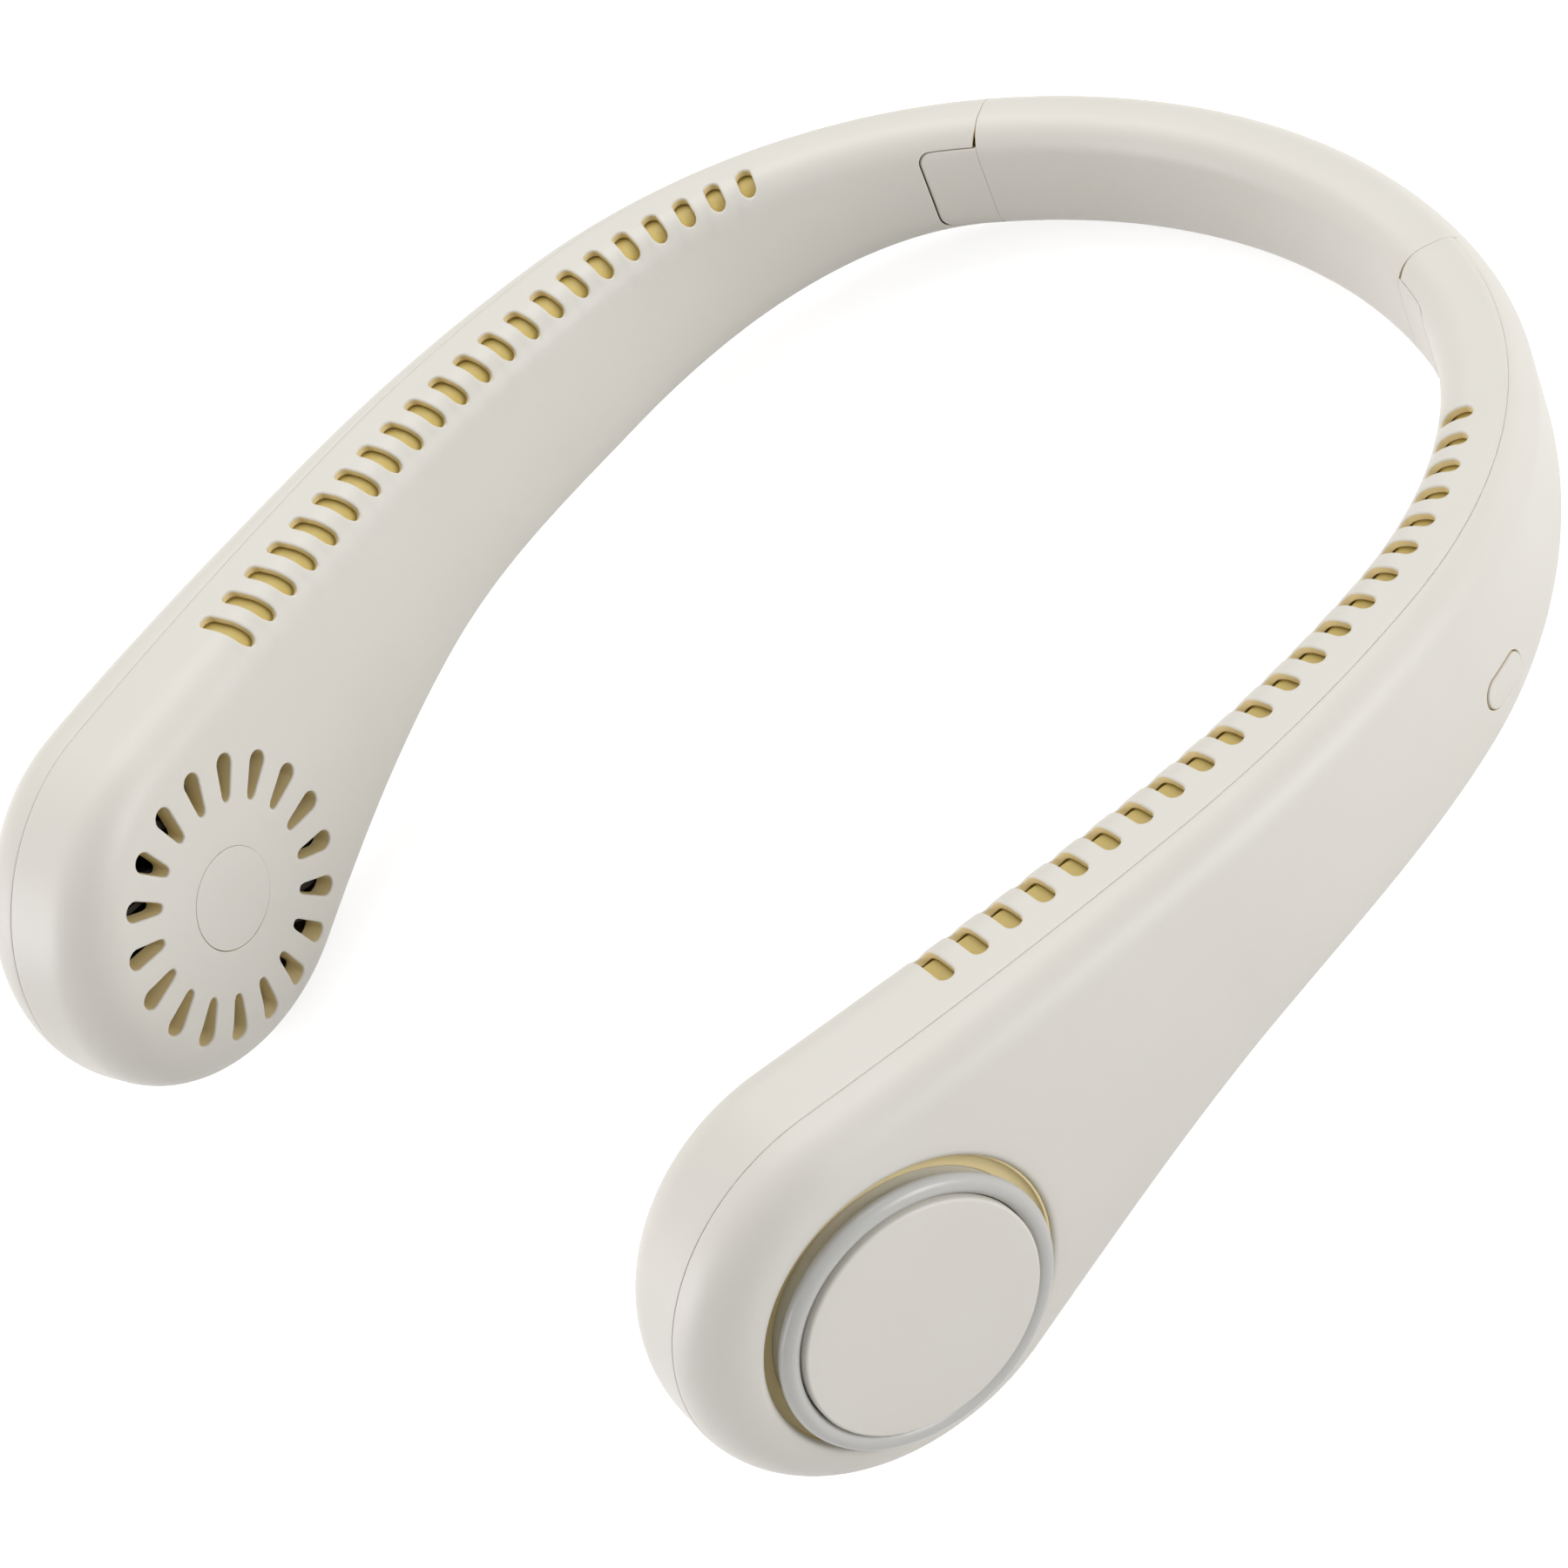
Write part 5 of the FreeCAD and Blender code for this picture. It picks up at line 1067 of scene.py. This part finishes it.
def grille_badge(sheets, _):
    """Plain round badge, flush in the grille's middle."""
    rim, end = BADGE_RADIUS - BADGE_SOFT, (0, BADGE_THICK)
    turned(sheets, np.concatenate([
        chain([(0, 0), (rim, 0)], [5]), arc((rim, BADGE_SOFT), BADGE_SOFT, -90, 0, 6)[:-1],
        chain([(BADGE_RADIUS, BADGE_SOFT), (BADGE_RADIUS, BADGE_THICK), end], (2, 5)), [end]]))


def ring_screws(sheets, _):
    """Three screws that hold the ring's feet, short enough to stay under the rounded cover."""
    head = RING_FOOT - SCREW_HEAD
    profile = np.array([(0, head), (SCREW_HEAD_RADIUS, head), (SCREW_HEAD_RADIUS, RING_FOOT),
                        (SCREW_RADIUS, RING_FOOT), (SCREW_RADIUS, SCREW_TIP), (0, SCREW_TIP)])
    for angle in np.radians(FOOT_ANGLES):
        shift = (SCREW_CIRCLE * np.cos(angle), SCREW_CIRCLE * np.sin(angle))
        turned(sheets, profile, steps=SCREW_STEPS, shift=shift)


both_sides(intake_ring, "{}_grey_intake_ring", "{}_arm", "grey_ring", "{}_intake_ring")
both_sides(ring_screws, "{}_short_ring_screws", "{}_arm", "bright_steel", "{}_ring_screws")
both_sides(intake_cap, "{}_flat_intake_cap", "{}_arm", "ivory_cap", "{}_intake_cap")
both_sides(grille_badge, "{}_plain_badge", "{}_arm", "ivory_cap", "{}_grille_badge")

# %% [markdown]
# ## Power button
# A pill-shaped key in the left cover, with its own fine gap. It stands out by a fifth of a millimetre.

# %% Power button
KEY_PROUD, KEY_WALL, KEY_SOFT = 0.2, 2.4, 0.3
KEY_ENDS, KEY_SIDES = 12, 18


def key_face(level, place):
    """Outer side, lifted by the height that the button stands out."""
    points, facing = face(place, level, 1)
    return points + KEY_PROUD * facing, facing


key_sheets = []
plate(key_sheets, key_face, lambda grow: button_outline(grow, KEY_ENDS, KEY_SIDES), KEY_SOFT, KEY_WALL)
make_piece("power_button_key", key_sheets, "power_button", "ivory_cap", "left_power_button")

# %% [markdown]
# ## Floor, light and camera
# A product photo on white: the floor and the world show as white to the camera, and the light on the
# object is soft, stronger from above, behind and the sides than from the camera. The floor's own glow
# grows with the distance, so that it meets the white world without a line.

# %% Floor
FLOOR_HALF = 3.0
FLOOR_CORNERS = ((-1, -1), (1, -1), (1, 1), (-1, 1))
PAPER, WHITE = (0.72, 0.72, 0.72, 1.0), (1.0, 1.0, 1.0, 1.0)
PAPER_ROUGHNESS = 0.9
GLOW_START, GLOW_END = 0.25, 1.0
GLOW_NEAR, GLOW_FAR = 0.7, 0.9


def white_to_camera(tree):
    """1 for rays from the camera, straight, by reflection or through glass, else 0."""
    rays = add_node(tree, "LightPath").outputs
    seen = rays["Is Camera Ray"]
    for way in ("Is Glossy Ray", "Is Transmission Ray"):
        seen = add_node(tree, "Math", {0: seen, 1: rays[way]}, "MAXIMUM").outputs[0]
    return seen


floor_mesh = bpy.data.meshes.new("studio_floor")
floor_mesh.from_pydata([(FLOOR_HALF * x, FLOOR_HALF * y, 0) for x, y in FLOOR_CORNERS], [], [(0, 1, 2, 3)])
floor = bpy.data.objects.new("studio_floor", floor_mesh)
scene.collection.objects.link(floor)
paper = bpy.data.materials.new("white_paper")
paper.use_nodes = True
paper_tree = paper.node_tree
spot = add_node(paper_tree, "TexCoord").outputs["Object"]
away = add_node(paper_tree, "VectorMath", {0: spot}, "LENGTH").outputs["Value"]
glow = add_node(paper_tree, "MapRange", {"From Min": GLOW_START, "From Max": GLOW_END,
                                         "To Min": GLOW_NEAR, "To Max": GLOW_FAR, "Value": away})
glow.interpolation_type = "SMOOTHSTEP"
shown = add_node(paper_tree, "Math", {0: white_to_camera(paper_tree), 1: glow.outputs["Result"]}, "MULTIPLY")
feed(paper_tree, paper_tree.nodes["Principled BSDF"], {
    "Base Color": PAPER, "Roughness": PAPER_ROUGHNESS, "Specular IOR Level": 0.0,
    "Emission Color": WHITE, "Emission Strength": shown.outputs[0]})
floor_mesh.materials.append(paper)
print("floor: %.0f m wide" % (2 * FLOOR_HALF))

# %% World and lamps
AMBIENT = 0.27
world = bpy.data.worlds.new("studio_world")
scene.world = world
world.use_nodes = True
world_tree = world.node_tree
level = add_node(world_tree, "MapRange", {
    "Value": white_to_camera(world_tree), "To Min": AMBIENT, "To Max": 1.0})
feed(world_tree, world_tree.nodes["Background"], {"Color": WHITE, "Strength": level.outputs["Result"]})


def stand(name, data, right, up, back, place):
    """New lamp or camera, by its three directions and its place."""
    turn = np.eye(4)
    turn[:3] = np.stack([right, up, back, place], -1)
    thing = bpy.data.objects.new(name, data)
    thing.matrix_world = Matrix(turn.tolist())
    scene.collection.objects.link(thing)
    return thing


def lamp(name, direction, distance, size, strength, tint):
    """Square lamp that faces the object; strength is the light on a surface facing it, 1 = full white."""
    way = np.array(direction) / np.linalg.norm(direction)
    data = bpy.data.lights.new(name, "AREA")
    data.shape = "SQUARE"
    data.size = size
    data.energy = strength * np.pi**2 * distance**2
    data.color = tint
    side = np.cross(UP, way)
    side = side / np.linalg.norm(side)
    stand(name, data, side, np.cross(way, side), way, way * distance)


lamp("lamp_above_behind", (-0.40, 0.45, 0.80), 1.4, 1.1, 0.56, (1.0, 0.99, 0.98))
lamp("lamp_right", (0.89, 0.38, 0.26), 1.5, 0.7, 0.51, (0.98, 0.97, 1.0))
lamp("lamp_front_left", (-0.52, -0.79, 0.34), 1.5, 0.8, 0.52, (0.99, 0.96, 1.0))

# %% Camera
CAMERA_RIGHT = (0.67482, 0.57736, -0.45966)
CAMERA_UP = (-0.30557, 0.78555, 0.53810)
CAMERA_BACK = (0.67175, -0.22266, 0.70652)
CAMERA_PLACE = (0.43662, -0.16192, 0.47337)
SENSOR, LENS = 36.0, 109.66
SHIFT_X, SHIFT_Y = -0.00106, 0.0019
camera_data = bpy.data.cameras.new("photo_camera")
camera_data.sensor_width = SENSOR
camera_data.lens = LENS
camera_data.shift_x = SHIFT_X
camera_data.shift_y = SHIFT_Y
scene.camera = stand("photo_camera", camera_data, CAMERA_RIGHT, CAMERA_UP, CAMERA_BACK, CAMERA_PLACE)
scene.view_settings.view_transform = "Standard"
print("camera lens: %.1f mm" % camera_data.lens)
